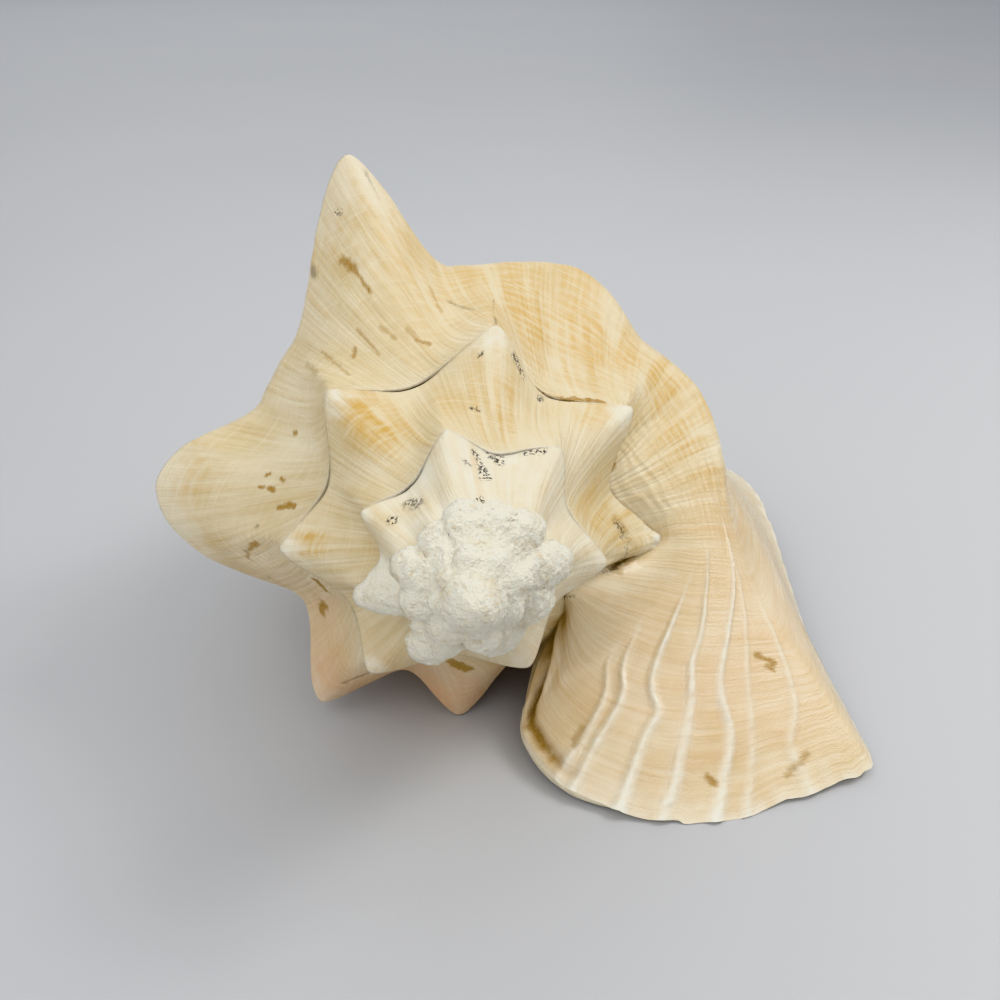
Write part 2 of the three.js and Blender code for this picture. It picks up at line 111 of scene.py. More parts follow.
@dataclass(frozen=True)
class GrowthForm:
    """The shell's surface as its growth draws it, in millimetres, with the apex above the origin."""

    growth: float = 1.6846
    shoulder_size: float = 43.7
    shoulder_reach: float = 1.168
    slope: float = math.radians(16.54)
    apex_height: float = 70.5
    canal_end: float = 213.0
    first_turn: float = 1.4
    tip_blunt: float = 4.0
    exposed_turn: float = 6.4
    last_turn: float = 7.4
    cavity_turn: float = 6.75
    formula_end: float = 7.2
    suture_depth: float = 0.04
    spine_decay: float = 0.2
    spine_rise: float = 1.7
    ramp_hollow: float = 1.3
    side_length: float = 1.88
    side_curve: float = 1.55
    lip_step: float = 0.1
    tip_round: float = 0.035
    ridge_round: float = 0.3
    lean_first: float = 1.5
    lean_last: float = 5.0
    lean: tuple = (-4.4, -8.3, 2.6)
    web_rows: tuple = ((0, .78), (4.5, .76), (6.4, .75), (6.55, .72), (6.68, .67), (6.87, .742),
                       (7.02, .76), (7.15, .815), (7.25, .86))
    spines: tuple = tuple(Spine(*row) for row in (
        (4.714, 1, .065, .055, 1.2), (4.828, 1, .055, .07, 1.2), (4.978, 1, .075, .07, 1.2),
        (5.126, 1, .075, .08, 1.2), (5.287, 1, .08, .075, 1.2), (5.438, .98, .075, .085, 1.2),
        (5.607, 1, .085, .07, 1.15), (5.752, 1, .07, .07, 1.15), (5.893, 1, .07, .07, 1.15),
        (6.041, 1, .075, .065, 1.15), (6.172, 1, .065, .06, 1.15), (6.286, 1, .055, .05, 1.2),
        (6.502, .93, .06, .05, 1.35), (6.602, .96, .05, .065, 1.3), (6.769, 1.04, .1, .075, 1.75),
        (6.969, 1.163, .082, .051, 1.2), (7.105, .871, .075, .06, 1.7), (7.215, .9, .06, .07, 1.8)))
    early: tuple = tuple(Spine(turn, reach, .055, .055, 1.9) for turn, reach in (
        (4.585, .98), (4.45, .9), (4.33, .88), (4.25, 1.0), (4.145, .93), (4.06, .84), (3.985, .9),
        (3.9, .86), (3.8, 1.02), (3.715, .94), (3.6, .9), (3.48, 1.0), (3.35, .88), (3.22, .98), (3.1, .88),
        (2.98, .93), (2.86, .87), (2.74, .93), (2.62, .88), (2.5, .92)))
    lip_ramp_inner: tuple = ((0, 46, 53, 43), (.17, 49.5, 50.5, 42.5), (.29, 53, 49.5, 42),
                             (.43, 57, 49, 41.3), (.58, 61, 49.3, 40.5), (.72, 65, 50, 39.2),
                             (.86, 68.5, 51, 37.3), (1, 72, 52, 35))
    lip_ramp_edge: tuple = ((0, 24, 50, 22), (.08, 16, 42.5, 13), (.17, 12, 34, 7), (.29, 15.5, 22, 4.5),
                            (.43, 27, 12, 3.5), (.58, 44, 7.5, 3.2), (.72, 59, 7.5, 3.2),
                            (.86, 75, 9.5, 3.5), (1, 90, 12, 4))
    lip_side_inner: tuple = ((0, 74, 55, 35), (.1, 79, 68, 36), (.2, 83, 84, 35), (.32, 85.5, 102, 33),
                             (.44, 84, 120, 31), (.55, 78, 137, 28.5), (.65, 69, 152, 25.5),
                             (.74, 57, 166, 22), (.81, 46, 177, 19.5), (.86, 38, 185, 18),
                             (.91, 29, 193, 16), (.96, 19, 202, 13.5), (1, 10, 210.5, 11))
    lip_side_edge: tuple = ((0, 91, 15.5, 4), (.1, 92, 36, 6), (.2, 93.5, 56, 8.5), (.32, 98.5, 80, 11),
                            (.44, 104, 104, 12.5), (.55, 107, 124, 12.5), (.65, 106.5, 143, 10),
                            (.74, 99, 160, 6), (.81, 84, 171, 3.5), (.86, 67, 172.5, 8),
                            (.91, 50, 181, 8), (.96, 30, 197, 4.5), (1, 12, 209, 1.1))

    def size(self, turn: Array) -> Array:
        """Shoulder radius at this turn."""
        return self.shoulder_size * self.growth ** (turn - 6)

    def web(self, turn: Array) -> Array:
        """Shoulder radius between spines, per shoulder radius."""
        return through(self.web_rows, turn)[..., 0]

    def spine_profile(self, turn: Array, w: Array | float) -> Array:
        """Spine height per shoulder radius at this turn, with a rounder ridge lower down the ramp."""
        height = np.zeros_like(turn)
        soft = self.tip_round + self.ridge_round * (1 - w)
        for spine in self.early + self.spines:
            x = np.where(turn < spine.turn, (spine.turn - turn) / spine.before,
                         (turn - spine.turn) / spine.after)
            x = unit((np.sqrt(x * x + soft ** 2) - soft) / (np.sqrt(1 + soft ** 2) - soft))
            stands = spine.reach - self.web(np.array(spine.turn))
            height = np.maximum(height, stands * (1 - x ** spine.blunt) ** 2)
        return height

    @cached_property
    def crest(self) -> tuple[Array, Array]:
        """Turns and spine heights per shoulder radius along the shoulder."""
        turns = np.linspace(1.0, self.last_turn, 64001)
        return turns, self.spine_profile(turns, 1.0)

    def spine_height(self, turn: Array, w: Array | float = 1.0) -> Array:
        """How far the nearest spine stands out past the shoulder, at w on the ramp."""
        if np.ndim(w) == 0:
            return np.interp(turn, *self.crest) * self.size(turn)
        return self.spine_profile(turn, w) * self.size(turn)

    def shoulder(self, turn: Array) -> tuple[Array, Array, Array]:
        """Distance down the axis, radius between spines and spine height of the shoulder."""
        size = self.size(turn)
        back = np.maximum(0, (turn - 7.105) / 0.095)
        along = self.shoulder_reach * size - 15.3 * back ** 1.3
        return along, self.web(turn) * size, self.spine_height(turn)

    def side(self, turn: Array, v: Array, share: float = 1.0) -> tuple[Array, Array]:
        """Side of the whorl.

        Args:
            turn: Turn of each point.
            v: Place on the side, 0 at the suture and 1 at the end.
            share: Share of the spines' height.

        Returns:
            Distance down the axis and radius.
        """
        size = self.size(turn)
        along, radius, spine = self.shoulder(turn)
        start = along + self.suture_depth * size
        retreat = 78 * unit((self.exposed_turn - turn) / (self.last_turn - self.cavity_turn))
        here = start + (self.canal_end - retreat - start) * v
        down = unit((here - along) / (size * self.side_length))
        body = radius * (1 - down ** self.side_curve)
        rib = share * spine * np.exp(-(((here - along) / (self.spine_decay * size)) ** 1.2))
        pillar = (5 + 6.5 * unit((turn - 6.5) / 0.6)
                  + 4 * unit((self.canal_end - here) / 60))
        rise = ease((here - start) / 25)
        joined = body + rise * 6 * np.log1p(np.exp((pillar - body) / 6))
        tip = unit((self.canal_end - here) / 20)
        return here, joined * (0.4 + 0.6 * np.sqrt(tip * (2 - tip))) + rib

    def uncovered(self, turn: Array) -> Array:
        """Share of a whorl's ramp that the next whorl leaves uncovered."""
        return 1 - 0.88 * ease((turn - 6.288) / 0.05) * (1 - ease((turn - 6.338) / 0.058))

    def suture(self, turn: Array, share: float = 1.0) -> tuple[Array, Array]:
        """Where the whorl starts on the whorl before it."""
        below = turn - 1
        along, radius = self.side(below, np.zeros_like(below), share)
        along2, radius2 = self.side(below - 1, np.zeros_like(below), share)
        shown = self.uncovered(below)
        along, radius = along2 + (along - along2) * shown, radius2 + (radius - radius2) * shown
        return along, radius

    def ramp(self, turn: Array, w: Array, share: float = 1.0) -> tuple[Array, Array]:
        """Ramp of the whorl at w, from 0 at the suture to 1 at the shoulder."""
        along0, radius0 = self.suture(turn, share)
        along, radius, _ = self.shoulder(turn)
        spine = self.spine_height(turn, w)
        return (along0 + (along - along0) * w,
                radius0 + (radius - radius0) * w ** self.ramp_hollow + share * spine * w ** self.spine_rise)

    def place(self, turn: Array, profile: tuple[Array, Array]) -> Array:
        """The point at a turn, a distance down the axis and a radius."""
        along, radius = profile
        along = np.hypot(along, self.tip_blunt)
        angle = 2 * np.pi * turn
        c, s = math.cos(self.slope), math.sin(self.slope)
        up, right = radius * np.cos(angle), radius * np.sin(angle)
        return np.stack([right, along * c + up * s, self.apex_height - along * s + up * c], axis=-1)

    def bent_tip(self, turn: Array) -> Array:
        """How far the old tip of the spire stands off the spiral."""
        last, first = self.size(self.lean_last), self.size(self.lean_first)
        share = unit((last - self.size(turn)) / (last - first))
        return share[..., None] * np.array(self.lean)

    def flared(self, turn: Array, x: Array, profile: Callable, inner: tuple, edge: tuple,
               share: float) -> Array:
        """Points of the flared lip, through two growth lines of the spiral and two of the lip.

        Args:
            turn: Turn of each point.
            x: Place of each point across the ramp or the side, 0 to 1.
            profile: The spiral's profile, ramp or side.
            inner: Rows of place and point on the lip's inner growth line.
            edge: Rows of place and point on the lip's margin.
            share: Share of the spines' height.

        Returns:
            The points in the form's frame.
        """
        first = np.full_like(x, self.formula_end - self.lip_step)
        second = np.full_like(x, self.formula_end)
        lines = [self.place(first, profile(first, x, share)), self.place(second, profile(second, x, share)),
                 through(inner, x), through(edge, x)]
        lines.append(2 * lines[3] - lines[2])
        u = (turn - self.formula_end) / self.lip_step
        k = (u >= 1).astype(int)
        s = (u - k)[..., None]
        k = k[..., None]
        a, b, c, d = (np.where(k == 0, lines[j], lines[j + 1]) for j in range(4))
        return hermite(s, b, (c - a) / 2, c, (d - b) / 2)

    def ramp_point(self, turn: Array, w: Array, share: float = 1.0) -> Array:
        """Outside of the shell on the ramp."""
        plain = self.place(turn, self.ramp(turn, w, share)) + self.bent_tip(turn - 1 + w)
        lip = self.flared(turn, w, self.ramp, self.lip_ramp_inner, self.lip_ramp_edge, share)
        start = self.flared(turn, np.zeros_like(w), self.ramp, self.lip_ramp_inner, self.lip_ramp_edge,
                            share)
        to_suture = self.place(turn, self.suture(turn, share)) - start
        lip = lip + to_suture * (unit(1 - w / 0.3) ** 2)[..., None]
        return np.where((turn <= self.formula_end)[..., None], plain, lip)

    def side_point(self, turn: Array, v: Array, share: float = 1.0) -> Array:
        """Outside of the shell on the side."""
        plain = self.place(turn, self.side(turn, v, share)) + self.bent_tip(turn)
        lip = self.flared(turn, v, self.side, self.lip_side_inner, self.lip_side_edge, share)
        return np.where((turn <= self.formula_end)[..., None], plain, lip)


def lattice(x: Array, y: Array, z: Array, seed: int) -> Array:
    """Repeatable random values from -1 to 1 at whole-number places."""
    h = (x.astype(np.uint32) * np.uint32(374761393) + y.astype(np.uint32) * np.uint32(668265263)
         + z.astype(np.uint32) * np.uint32(2246822519) + np.uint32(seed * 3266489917 & 0xFFFFFFFF))
    h = (h ^ (h >> np.uint32(13))) * np.uint32(1274126177)
    h ^= h >> np.uint32(16)
    return (h & np.uint32(0xFFFF)).astype(float) / 32767.5 - 1.0


def noise(points: Array, seed: int = 0, octaves: int = 1) -> Array:
    """Smooth noise from -1 to 1 at points of shape (..., 3), one feature per unit."""
    total, weight, norm = 0.0, 1.0, 0.0
    for octave in range(octaves):
        p = points * 2.0 ** octave + 17.3 * octave
        cell = np.floor(p).astype(np.int64)
        f = p - cell
        f = f * f * (3 - 2 * f)
        value = 0.0
        for corner in range(8):
            d = np.array([corner & 1, corner >> 1 & 1, corner >> 2 & 1])
            share = np.prod(np.where(d == 1, f, 1 - f), axis=-1)
            value = value + share * lattice(*np.moveaxis(cell + d, -1, 0), seed + octave)
        total, norm, weight = total + weight * value, norm + weight, weight * 0.5
    return total / norm


def flat_noise(x: Array, y: Array, seed: int = 0, octaves: int = 1) -> Array:
    """Smooth noise over two values."""
    return noise(np.stack([x, y, np.zeros_like(x) + 0.5], axis=-1), seed, octaves)


def bump(x: Array, middle: float, width: float) -> Array:
    """Bell of height 1 round the middle."""
    return np.exp(-(((x - middle) / width) ** 2))


@dataclass
class Sheet:
    """A grid of points over turn and place across the whorl, with named paint values.

    Attributes:
        turn: Turn of each point, rows by lanes.
        across: Place across the whorl, 0 to 1 on the ramp and 1 to 2 on the side.
        points: Points in the growth form's frame, in millimetres.
        paint: Values from 0 to 1 by name, for the materials.
        weave: Distance along the spiral and across it in millimetres, and the turn.
        normals: Outward normals, set by a sheet that this one was cut from.
    """

    turn: Array
    across: Array
    points: Array
    paint: dict = field(default_factory=dict)
    weave: Array | None = None
    normals: Array | None = None

    @property
    def has_lip(self) -> bool:
        """Whether the sheet runs out to the lip."""
        return self.turn[-1, 0] > 7

    def facing(self) -> Array:
        """Outward unit normals from differences over the grid."""
        return directions(np.cross(np.gradient(self.points, axis=0), np.gradient(self.points, axis=1)))

    def push(self, height: Array) -> None:
        """Moves the points along their normals by a height in millimetres."""
        self.points = self.points + self.facing() * height[..., None]

    def measure(self, start: float = 0.0, slant: float = 0.0) -> None:
        """Fills weave: distance along the growth lines' path and across it, and the turn.

        Args:
            start: Distance along at the first row.
            slant: How far the growth lines lean back for each millimetre across.
        """
        step = np.linalg.norm(np.diff(self.points, axis=0), axis=-1).mean(axis=1)
        along = start + np.concatenate([[0], np.cumsum(step)])
        lane = np.linalg.norm(np.diff(self.points, axis=1), axis=-1)
        across = np.concatenate([np.zeros((len(lane), 1)), np.cumsum(lane, axis=1)], axis=1)
        on_ramp = np.where(self.across <= 1, across, 0).max(axis=1, keepdims=True)
        lean = slant * (1 - ease((self.turn - 7.08) / 0.2)) * ease((self.turn - 4.7) / 0.4)
        bend = 0.45 * on_ramp + 1
        along = along[:, None] + lean * bend * (1 - np.exp(-np.minimum(across, on_ramp) / bend))
        self.weave = np.stack([along, across, self.turn], axis=-1)

    def to_margin(self) -> Array:
        """Distance in millimetres from each point along its lane to the last row."""
        step = np.linalg.norm(np.diff(self.points, axis=0), axis=-1)
        back = np.cumsum(step[::-1], axis=0)[::-1]
        return np.concatenate([back, np.zeros((1, back.shape[1]))])

    def round_off(self, lane: int, reach: int, passes: int, share: Array) -> None:
        """Rounds an edge that runs along one lane.

        Args:
            lane: The lane of the edge.
            reach: Lanes to each side that may move.
            passes: Smoothing passes.
            share: Strength from 0 to 1 for each row.
        """
        part = slice(lane - reach, lane + reach + 1)
        fade = np.cos(np.linspace(-math.pi / 2, math.pi / 2, 2 * reach + 1))[None, :, None]
        weight = 0.5 * share[:, None, None] * fade ** 0.5
        for _ in range(passes):
            p = self.points
            mean = (p[:, lane - reach - 1:lane + reach] + p[:, lane - reach + 1:lane + reach + 2]) / 2
            p[:, part] += (mean - p[:, part]) * weight

    def cut(self, first: int, last: int) -> "Sheet":
        """The lanes from first to last as a sheet with the same normals."""
        normals = self.facing() if self.normals is None else self.normals
        k = slice(first, last + 1)
        return Sheet(self.turn[:, k], self.across[:, k], self.points[:, k],
                     {name: value[:, k] for name, value in self.paint.items()},
                     None if self.weave is None else self.weave[:, k], normals[:, k])


class Paint(Enum):
    """What a sheet's paint values say about the shell's surface."""

    OCHRE = "ochre"
    CHALK = "chalk"
    ROSE = "rose"
    STAIN = "stain"
    # dark paint: painted shade along the suture and its crevice, with dirt there and in the notch, cracks and spots
    DIRT_AND_SHADE = "dirt_and_shade"
    SPECK = "speck"
    CORD = "cord"
    CRUST = "crust"
    GLOSS = "gloss"


@dataclass(frozen=True)
class Mark:
    """A streak on the surface between two places (turn, across), with its half-width in mm."""

    paint: Paint
    start: tuple
    end: tuple
    width: float
    strength: float = 1.0


@dataclass(frozen=True)
class Patch:
    """A soft patch round a place (turn, across), with its spread in turns and across."""

    turn: float
    across: float
    turns: float
    spread: float
    strength: float


@dataclass(frozen=True)
class Cord:
    """A raised glossy cord along the lip, through places (turn, across) on its ramp."""

    track: tuple
    height: float
    width: float


OCHRE_PATCHES = tuple(Patch(*row) for row in (
    (7.1, .55, .06, .45, 1), (7.02, .75, .04, .35, .5), (7.2, .75, .05, .3, .7), (7.26, .8, .05, .3, .5),
    (6.05, .6, .022, .4, 1.3), (6, .55, .03, .25, .5), (5.905, .75, .022, .25, 1.3),
    (5.93, .5, .03, .3, .6), (5.765, .85, .025, .2, 1), (6.785, .87, .02, .12, .9),
    (6.245, .6, .04, .5, 1), (6.15, .9, .02, .2, .8), (5.6, .7, .03, .3, .4), (5.2, .7, .06, .4, .5),
    (5, .6, .05, .4, .35), (6.95, .9, .03, .3, .35),
))
ROSE_PATCHES = tuple(Patch(*row) for row in (
    (6.5, .9, .06, .5, .9), (6.6, .9, .05, .45, .7), (6.68, .6, .05, .4, .35), (7.36, .35, .08, .5, .25),
    (7.33, .9, .07, .4, .3), (5, .75, .02, .2, .3), (5.6, .85, .03, .3, .25), (5.42, .9, .03, .3, .35),
))
CORDS = (
    Cord(((7.335, .235), (7.355, .25), (7.365, .30), (7.375, .312), (7.4, .312)), 0.9, 0.013),
    Cord(((7.325, .25), (7.339, .266), (7.355, .304), (7.361, .338), (7.37, .352), (7.4, .352)), 1.0, 0.015),
    Cord(((7.30, .43), (7.318, .395), (7.337, .392), (7.351, .40), (7.359, .43), (7.365, .462), (7.373, .456),
          (7.4, .454)), 1.1, 0.017),
    Cord(((7.285, .56), (7.308, .532), (7.335, .532), (7.347, .52), (7.361, .545), (7.38, .545), (7.4, .534)),
         1.1, 0.017),
    Cord(((7.27, .84), (7.29, .81), (7.312, .74), (7.337, .66), (7.355, .635), (7.371, .67), (7.382, .658),
          (7.4, .636)), 1.1, 0.018),
    Cord(((7.29, .86), (7.324, .785), (7.347, .747), (7.371, .734), (7.4, .70)), 0.55, 0.015),
    Cord(((7.31, .95), (7.347, .911), (7.369, .873), (7.38, .83), (7.4, .84)), 0.6, 0.017),
)
def marks(paint: Paint, rows: tuple) -> tuple[Mark, ...]:
    """Marks of one paint from rows of turn, across, turn, across, half-width and strength."""
    return tuple(Mark(paint, row[:2], row[2:4], *row[4:]) for row in rows)


STAINS = marks(Paint.STAIN, (
    (6.949, .759, 6.953, .7, 1.2), (6.953, .7, 6.957, .57, .45), (6.84, .557, 6.841, .547, .75),
    (6.799, .5, 6.801, .485, .45), (6.802, .41, 6.801, .39, .6), (6.791, .43, 6.79, .39, .6),
    (6.778, .3, 6.785, .21, .8), (6.746, .43, 6.738, .56, .7, .9), (6.738, .56, 6.728, .68, .35, .8),
    (6.789, .49, 6.79, .46, .4), (6.938, .5, 6.945, .31, .4, .6), (6.906, .6, 6.914, .25, .4, .5),
    (6.891, .66, 6.893, .46, .7, .35), (6.955, .42, 6.963, .34, .55, .55),
    (6.975, .36, 6.981, .3, .7, .45), (7, .67, 7.006, .52, .5, .5), (6.665, .64, 6.657, .72, 1.5),
    (6.7, .36, 6.686, .38, .9), (6.515, .36, 6.5, .44, 1.6), (7.125, .03, 7.155, .055, 1.3),
    (7.1, .015, 7.125, .02, .6), (7.19, .03, 7.215, .03, 1.1), (7.345, .8, 7.349, .86, .9),
    (7.394, .8, 7.388, .86, .9, .7), (7.389, .615, 7.391, .63, .8), (7.38, .3, 7.385, .31, 1.2, .5),
    (6.98, .3, 6.99, .27, .6, .8), (6.93, .42, 6.925, .38, .5, .8), (7.31, .03, 7.37, .02, 2.2, .6),
    (7.35, .83, 7.352, .85, .5, .9),
))
SPECKS = marks(Paint.SPECK, (
    (5.014, .87, 5.022, .79, 1), (5.03, .7, 5.034, .62, 1.3), (5.035, .97, 5.06, .94, .9),
    (5.053, .886, 5.06, .86, .7), (5.027, .27, 5.028, .1, .9), (5, .7, 5.003, .68, .7),
    (5.09, .97, 5.11, .95, .7), (4.845, .7, 4.846, .68, .9, 1.3), (6.019, .468, 6.021, .46, .6),
    (6.025, .456, 6.027, .45, .6), (6.06, .96, 6.075, .93, .8), (6.955, .9, 6.957, .88, .6),
    (4.885, .76, 4.9, .66, 1.3, .7), (6.028, .86, 6.03, .86, .6), (6.1, .88, 6.105, .93, .7),
    (6.265, .66, 6.3, .7, 1.5, .8),
))
# dark marks: painted shade along the suture beside the notch, and a faint dark mark on the old crust
DIRT_AND_SHADE_MARKS = marks(Paint.DIRT_AND_SHADE, (
    (7.3, .02, 7.345, .012, .55, .8), (4.88, .7, 4.9, .64, .8, .2),
))
RAISED = marks(Paint.STAIN, ((6.262, .7, 6.3, .8, 2, .45),)) + marks(Paint.DIRT_AND_SHADE, ((6.93, .93, 6.932, .95, .9, .5),))
CREASES = marks(Paint.DIRT_AND_SHADE, (
    (6.975, .97, 7.014, .62, .45, .35), (7.014, .62, 7.047, .3, .35, .4), (7.047, .3, 7.044, .02, .3, .5),
    (7.044, .1, 7.047, .56, .25, .45), (6.76, .4, 6.735, .62, .3, .45), (6.735, .62, 6.7, .86, .3, .45),
    (6.585, .35, 6.6, .72, .35, .5),
))


@dataclass(frozen=True)
class ReliefHeights:
    """Heights of the surface detail, in millimetres."""

    growth: float = 0.19
    ribs: float = 0.10
    steps: float = 0.34
    threads: float = 0.12
    swell: float = 0.35
    suture_edge: float = 0.42
    under_seam: float = 0.45
    cords: float = 1.15
    bricks: float = 0.13
    spirals: float = 0.3
    crease: float = 0.5
    raised: float = 0.4


class Decorator:
    """Works out paint and relief for a sheet from where its points lie on the shell."""

    def __init__(self, form: GrowthForm, heights: ReliefHeights = ReliefHeights()):
        self.form = form
        self.heights = heights

    def at(self, place: tuple) -> Array:
        """The point of the bare form at (turn, across)."""
        turn, across = (np.array([v], dtype=float) for v in place)
        return self.form.ramp_point(turn, across)[0]

    def relative_size(self, turn: Array) -> Array:
        """Size of the whorl at a turn against that at turn 6."""
        return self.form.size(turn) / self.form.shoulder_size

    def streak(self, sheet: Sheet, mark: Mark) -> Array:
        """How strongly a mark covers each point, with a ragged edge."""
        a, b = self.at(mark.start), self.at(mark.end)
        ab = b - a
        s = unit(((sheet.points - a) @ ab) / max(ab @ ab, 1e-9))
        away = np.linalg.norm(sheet.points - a - s[..., None] * ab, axis=-1)
        near = away < mark.width * 4
        cover = np.zeros(away.shape)
        ragged = noise(sheet.points[near] / 0.9, 31, 2)
        cover[near] = unit(1.95 - 1.5 * away[near] / mark.width + 1.3 * ragged)
        return cover * mark.strength

    @staticmethod
    def patches(sheet: Sheet, patches: tuple) -> Array:
        """Sum of soft patches."""
        total = np.zeros(sheet.turn.shape)
        for p in patches:
            total += p.strength * bump(sheet.turn, p.turn, p.turns) * bump(sheet.across, p.across, p.spread)
        return total

    def spine_share(self, sheet: Sheet) -> Array:
        """1 at a spine's tip, falling to 0 down its flanks and down the ramp."""
        turn = sheet.turn[:, 0]
        height = self.form.spine_height(turn) / (0.25 * self.form.size(turn))
        return np.clip(height, 0, 1.2)[:, None] * ease((sheet.across - 0.55) / 0.45) * (sheet.across < 1.15)

    def crust(self, sheet: Sheet) -> Array:
        """1 on the old, overgrown tip of the spire, with an uneven border."""
        ragged = noise(sheet.points / 2.5, 5, 3)
        whole = ease((4.65 - sheet.turn + 0.05 * ragged) / 0.04)
        left = bump(sheet.turn, 4.714, 0.055) * ease((sheet.across - 0.25 + 0.3 * ragged) / 0.3)
        first = bump(sheet.turn, 6.287, 0.012) * ease((sheet.across - 0.9 + 0.15 * ragged) / 0.08)
        return np.maximum(np.maximum(whole, 0.9 * left), 0.5 * first) * (sheet.across <= 1.2)

    @staticmethod
    def bent(sheet: Sheet) -> Array:
        """Distance along the spiral in millimetres, slightly wavy."""
        return sheet.weave[..., 0] + 0.6 * noise(sheet.points / 9.0, 3)

    @staticmethod
    def threads(sheet: Sheet) -> Array:
        """Fine spiral threads, 0 between them and 1 on top."""
        along, across, _ = np.moveaxis(sheet.weave, -1, 0)
        return 0.5 + 0.5 * wave(17 * sheet.across + 0.35 * flat_noise(along / 6, across / 3, 4))

    def chalk(self, sheet: Sheet, blots: Array, broken: Array) -> Array:
        """Chalky white of the spines' tips and of the worn older whorls, and a pale rim at the suture that is
        partly a painted highlight on its raised edge.
        """
        _, across, turn = np.moveaxis(sheet.weave, -1, 0)
        # pale rim along the suture: chalk and a painted highlight of the raised edge
        rim = np.exp(-across / (0.03 * self.form.size(turn))) * ease((turn - 4.9) / 0.3)
        rim *= 1 - ease((turn - 7.3) / 0.05)
        chalk = unit(1.9 * self.spine_share(sheet) - 1.15 + 0.5 * noise(sheet.points / 1.5, 12, 2))
        chalk = np.maximum(chalk, rim * (0.7 + 0.3 * blots))
        chalk *= np.where(sheet.across > 1.2, 0, 0.35 + 0.65 * ease((6.42 - turn) / 0.05))
        worn = np.clip(0.62 + 0.7 * blots - 0.3 * broken, 0.15, 0.85)
        worn = worn * ease((5.62 - turn + 0.06 * blots) / 0.2) * (sheet.across <= 1.2)
        return np.maximum(chalk, worn)

    def marks(self, sheet: Sheet) -> dict[Paint, Array]:
        """Stains, specks, cracks, and painted shade along the suture with some dirt."""
        along, across, turn = np.moveaxis(sheet.weave, -1, 0)
        # painted shade: a dark line along the new whorl's edge at the suture and along the older whorl's crest
        # beneath it, with some dirt
        suture_shade = 0.8 * np.exp(-across / 0.25) * (0.7 + 0.3 * flat_noise(along / 4, across, 27, 2))
        suture_shade += 0.95 * (turn < 6.395) * bump(across, across[:, -1:], 1.1)
        found = {Paint.STAIN: np.zeros(turn.shape), Paint.SPECK: np.zeros(turn.shape),
                 Paint.DIRT_AND_SHADE: 0.85 * suture_shade * ease((turn - 4.8) / 0.2)}
        for mark in STAINS + SPECKS + DIRT_AND_SHADE_MARKS + RAISED + CREASES:
            found[mark.paint] = np.maximum(found[mark.paint], self.streak(sheet, mark))
        return found

    def paint_notch(self, sheet: Sheet, values: dict[Paint, Array]) -> None:
        """Adds the notch's dirt and olive band and the margin's chalk to the paint values."""
        far = sheet.to_margin()
        beside = (sheet.turn > 7.3) * (0.7 + 0.6 * noise(sheet.points / 2.2, 33, 3))
        groove = bump(far - self.valley(sheet), 0, 1.9) * ease((0.2 - sheet.across) / 0.04)
        groove = np.maximum(groove, 0.8 * ease((0.08 - sheet.across) / 0.03) * bump(far, 6.0, 3.0))
        olive = bump(far, 3.4, 1.8) * bump(sheet.across, 0.22, 0.09)
        brim = np.exp(-far / 3.0) * ease((sheet.turn - 7.3) / 0.05)
        added = {Paint.DIRT_AND_SHADE: (0.75 * groove + 0.3 * olive) * beside,
                 Paint.STAIN: (1.3 * groove + 1.6 * olive) * beside,
                 Paint.CHALK: 0.95 * brim * (0.5 + 0.5 * noise(sheet.points / 3.0, 34, 2))}
        for paint, value in added.items():
            values[paint] = np.maximum(values[paint], value)

    def decorate(self, sheet: Sheet) -> None:
        """Sets every paint value of a sheet whose weave is known."""
        across, turn = sheet.weave[..., 1], sheet.turn
        bent = self.bent(sheet)
        lines = flat_noise(bent / 1.4, across / 30.0, 7, 2)
        bands = flat_noise(bent / 5.0, across / 40.0, 8, 2)
        blots = noise(sheet.points / 5.0, 9, 3)
        broken = unit(0.55 + 1.3 * lines + 0.8 * blots)
        crust = self.crust(sheet)
        ochre = 0.8 * self.patches(sheet, OCHRE_PATCHES) + 0.1 + 0.3 * unit(bands)
        ochre *= broken * (1 - 0.6 * self.threads(sheet) ** 3) * (1 - 0.7 * crust)
        values = {
            Paint.OCHRE: ochre, Paint.CHALK: self.chalk(sheet, blots, broken),
            Paint.ROSE: self.patches(sheet, ROSE_PATCHES) * (0.8 + 0.3 * bands),
            Paint.CORD: self.cords(sheet), Paint.CRUST: crust,
            Paint.GLOSS: 0.15 + 0.85 * ease((turn - 7.2) / 0.12), **self.marks(sheet),
        }
        if sheet.has_lip:
            self.paint_notch(sheet, values)
        sheet.paint = {paint.value: unit(value) for paint, value in values.items()}

    @staticmethod
    def cords(sheet: Sheet) -> Array:
        """Height share of the lip's cords."""
        total = np.zeros(sheet.turn.shape)
        for k, cord in enumerate(CORDS):
            middle = through(cord.track, sheet.turn)[..., 0]
            sway = 0.004 * flat_noise(sheet.turn * 140, np.full_like(sheet.turn, 3.0 * k), 21)
            ridge = bump(sheet.across + sway, middle, 0.72 * cord.width)
            uneven = 0.8 + 0.35 * flat_noise(sheet.turn * 260, np.full_like(sheet.turn, 5.0 * k), 26, 2)
            start = ease((sheet.turn - cord.track[0][0]) / 0.04)
            total = np.maximum(total, cord.height * ridge * uneven * start)
        return total

    def crust_height(self, sheet: Sheet) -> Array:
        """Height of the lumpy crust on the old whorls, in millimetres."""
        lumps = 1 - np.abs(noise(sheet.points / 2.4, 18, 3)) * 2
        rough = noise(sheet.points / 0.8, 19, 2)
        blobs = noise(sheet.points / 4.5, 20, 2)
        stacked = 1.6 * ease((sheet.across - 0.4) / 0.4) - 1.0 * (1 - sheet.across) ** 2
        height = 0.45 * lumps + 0.3 * rough + 0.9 * blobs + stacked
        return height * np.clip(self.relative_size(sheet.turn) * 2.6, 0.5, 1)

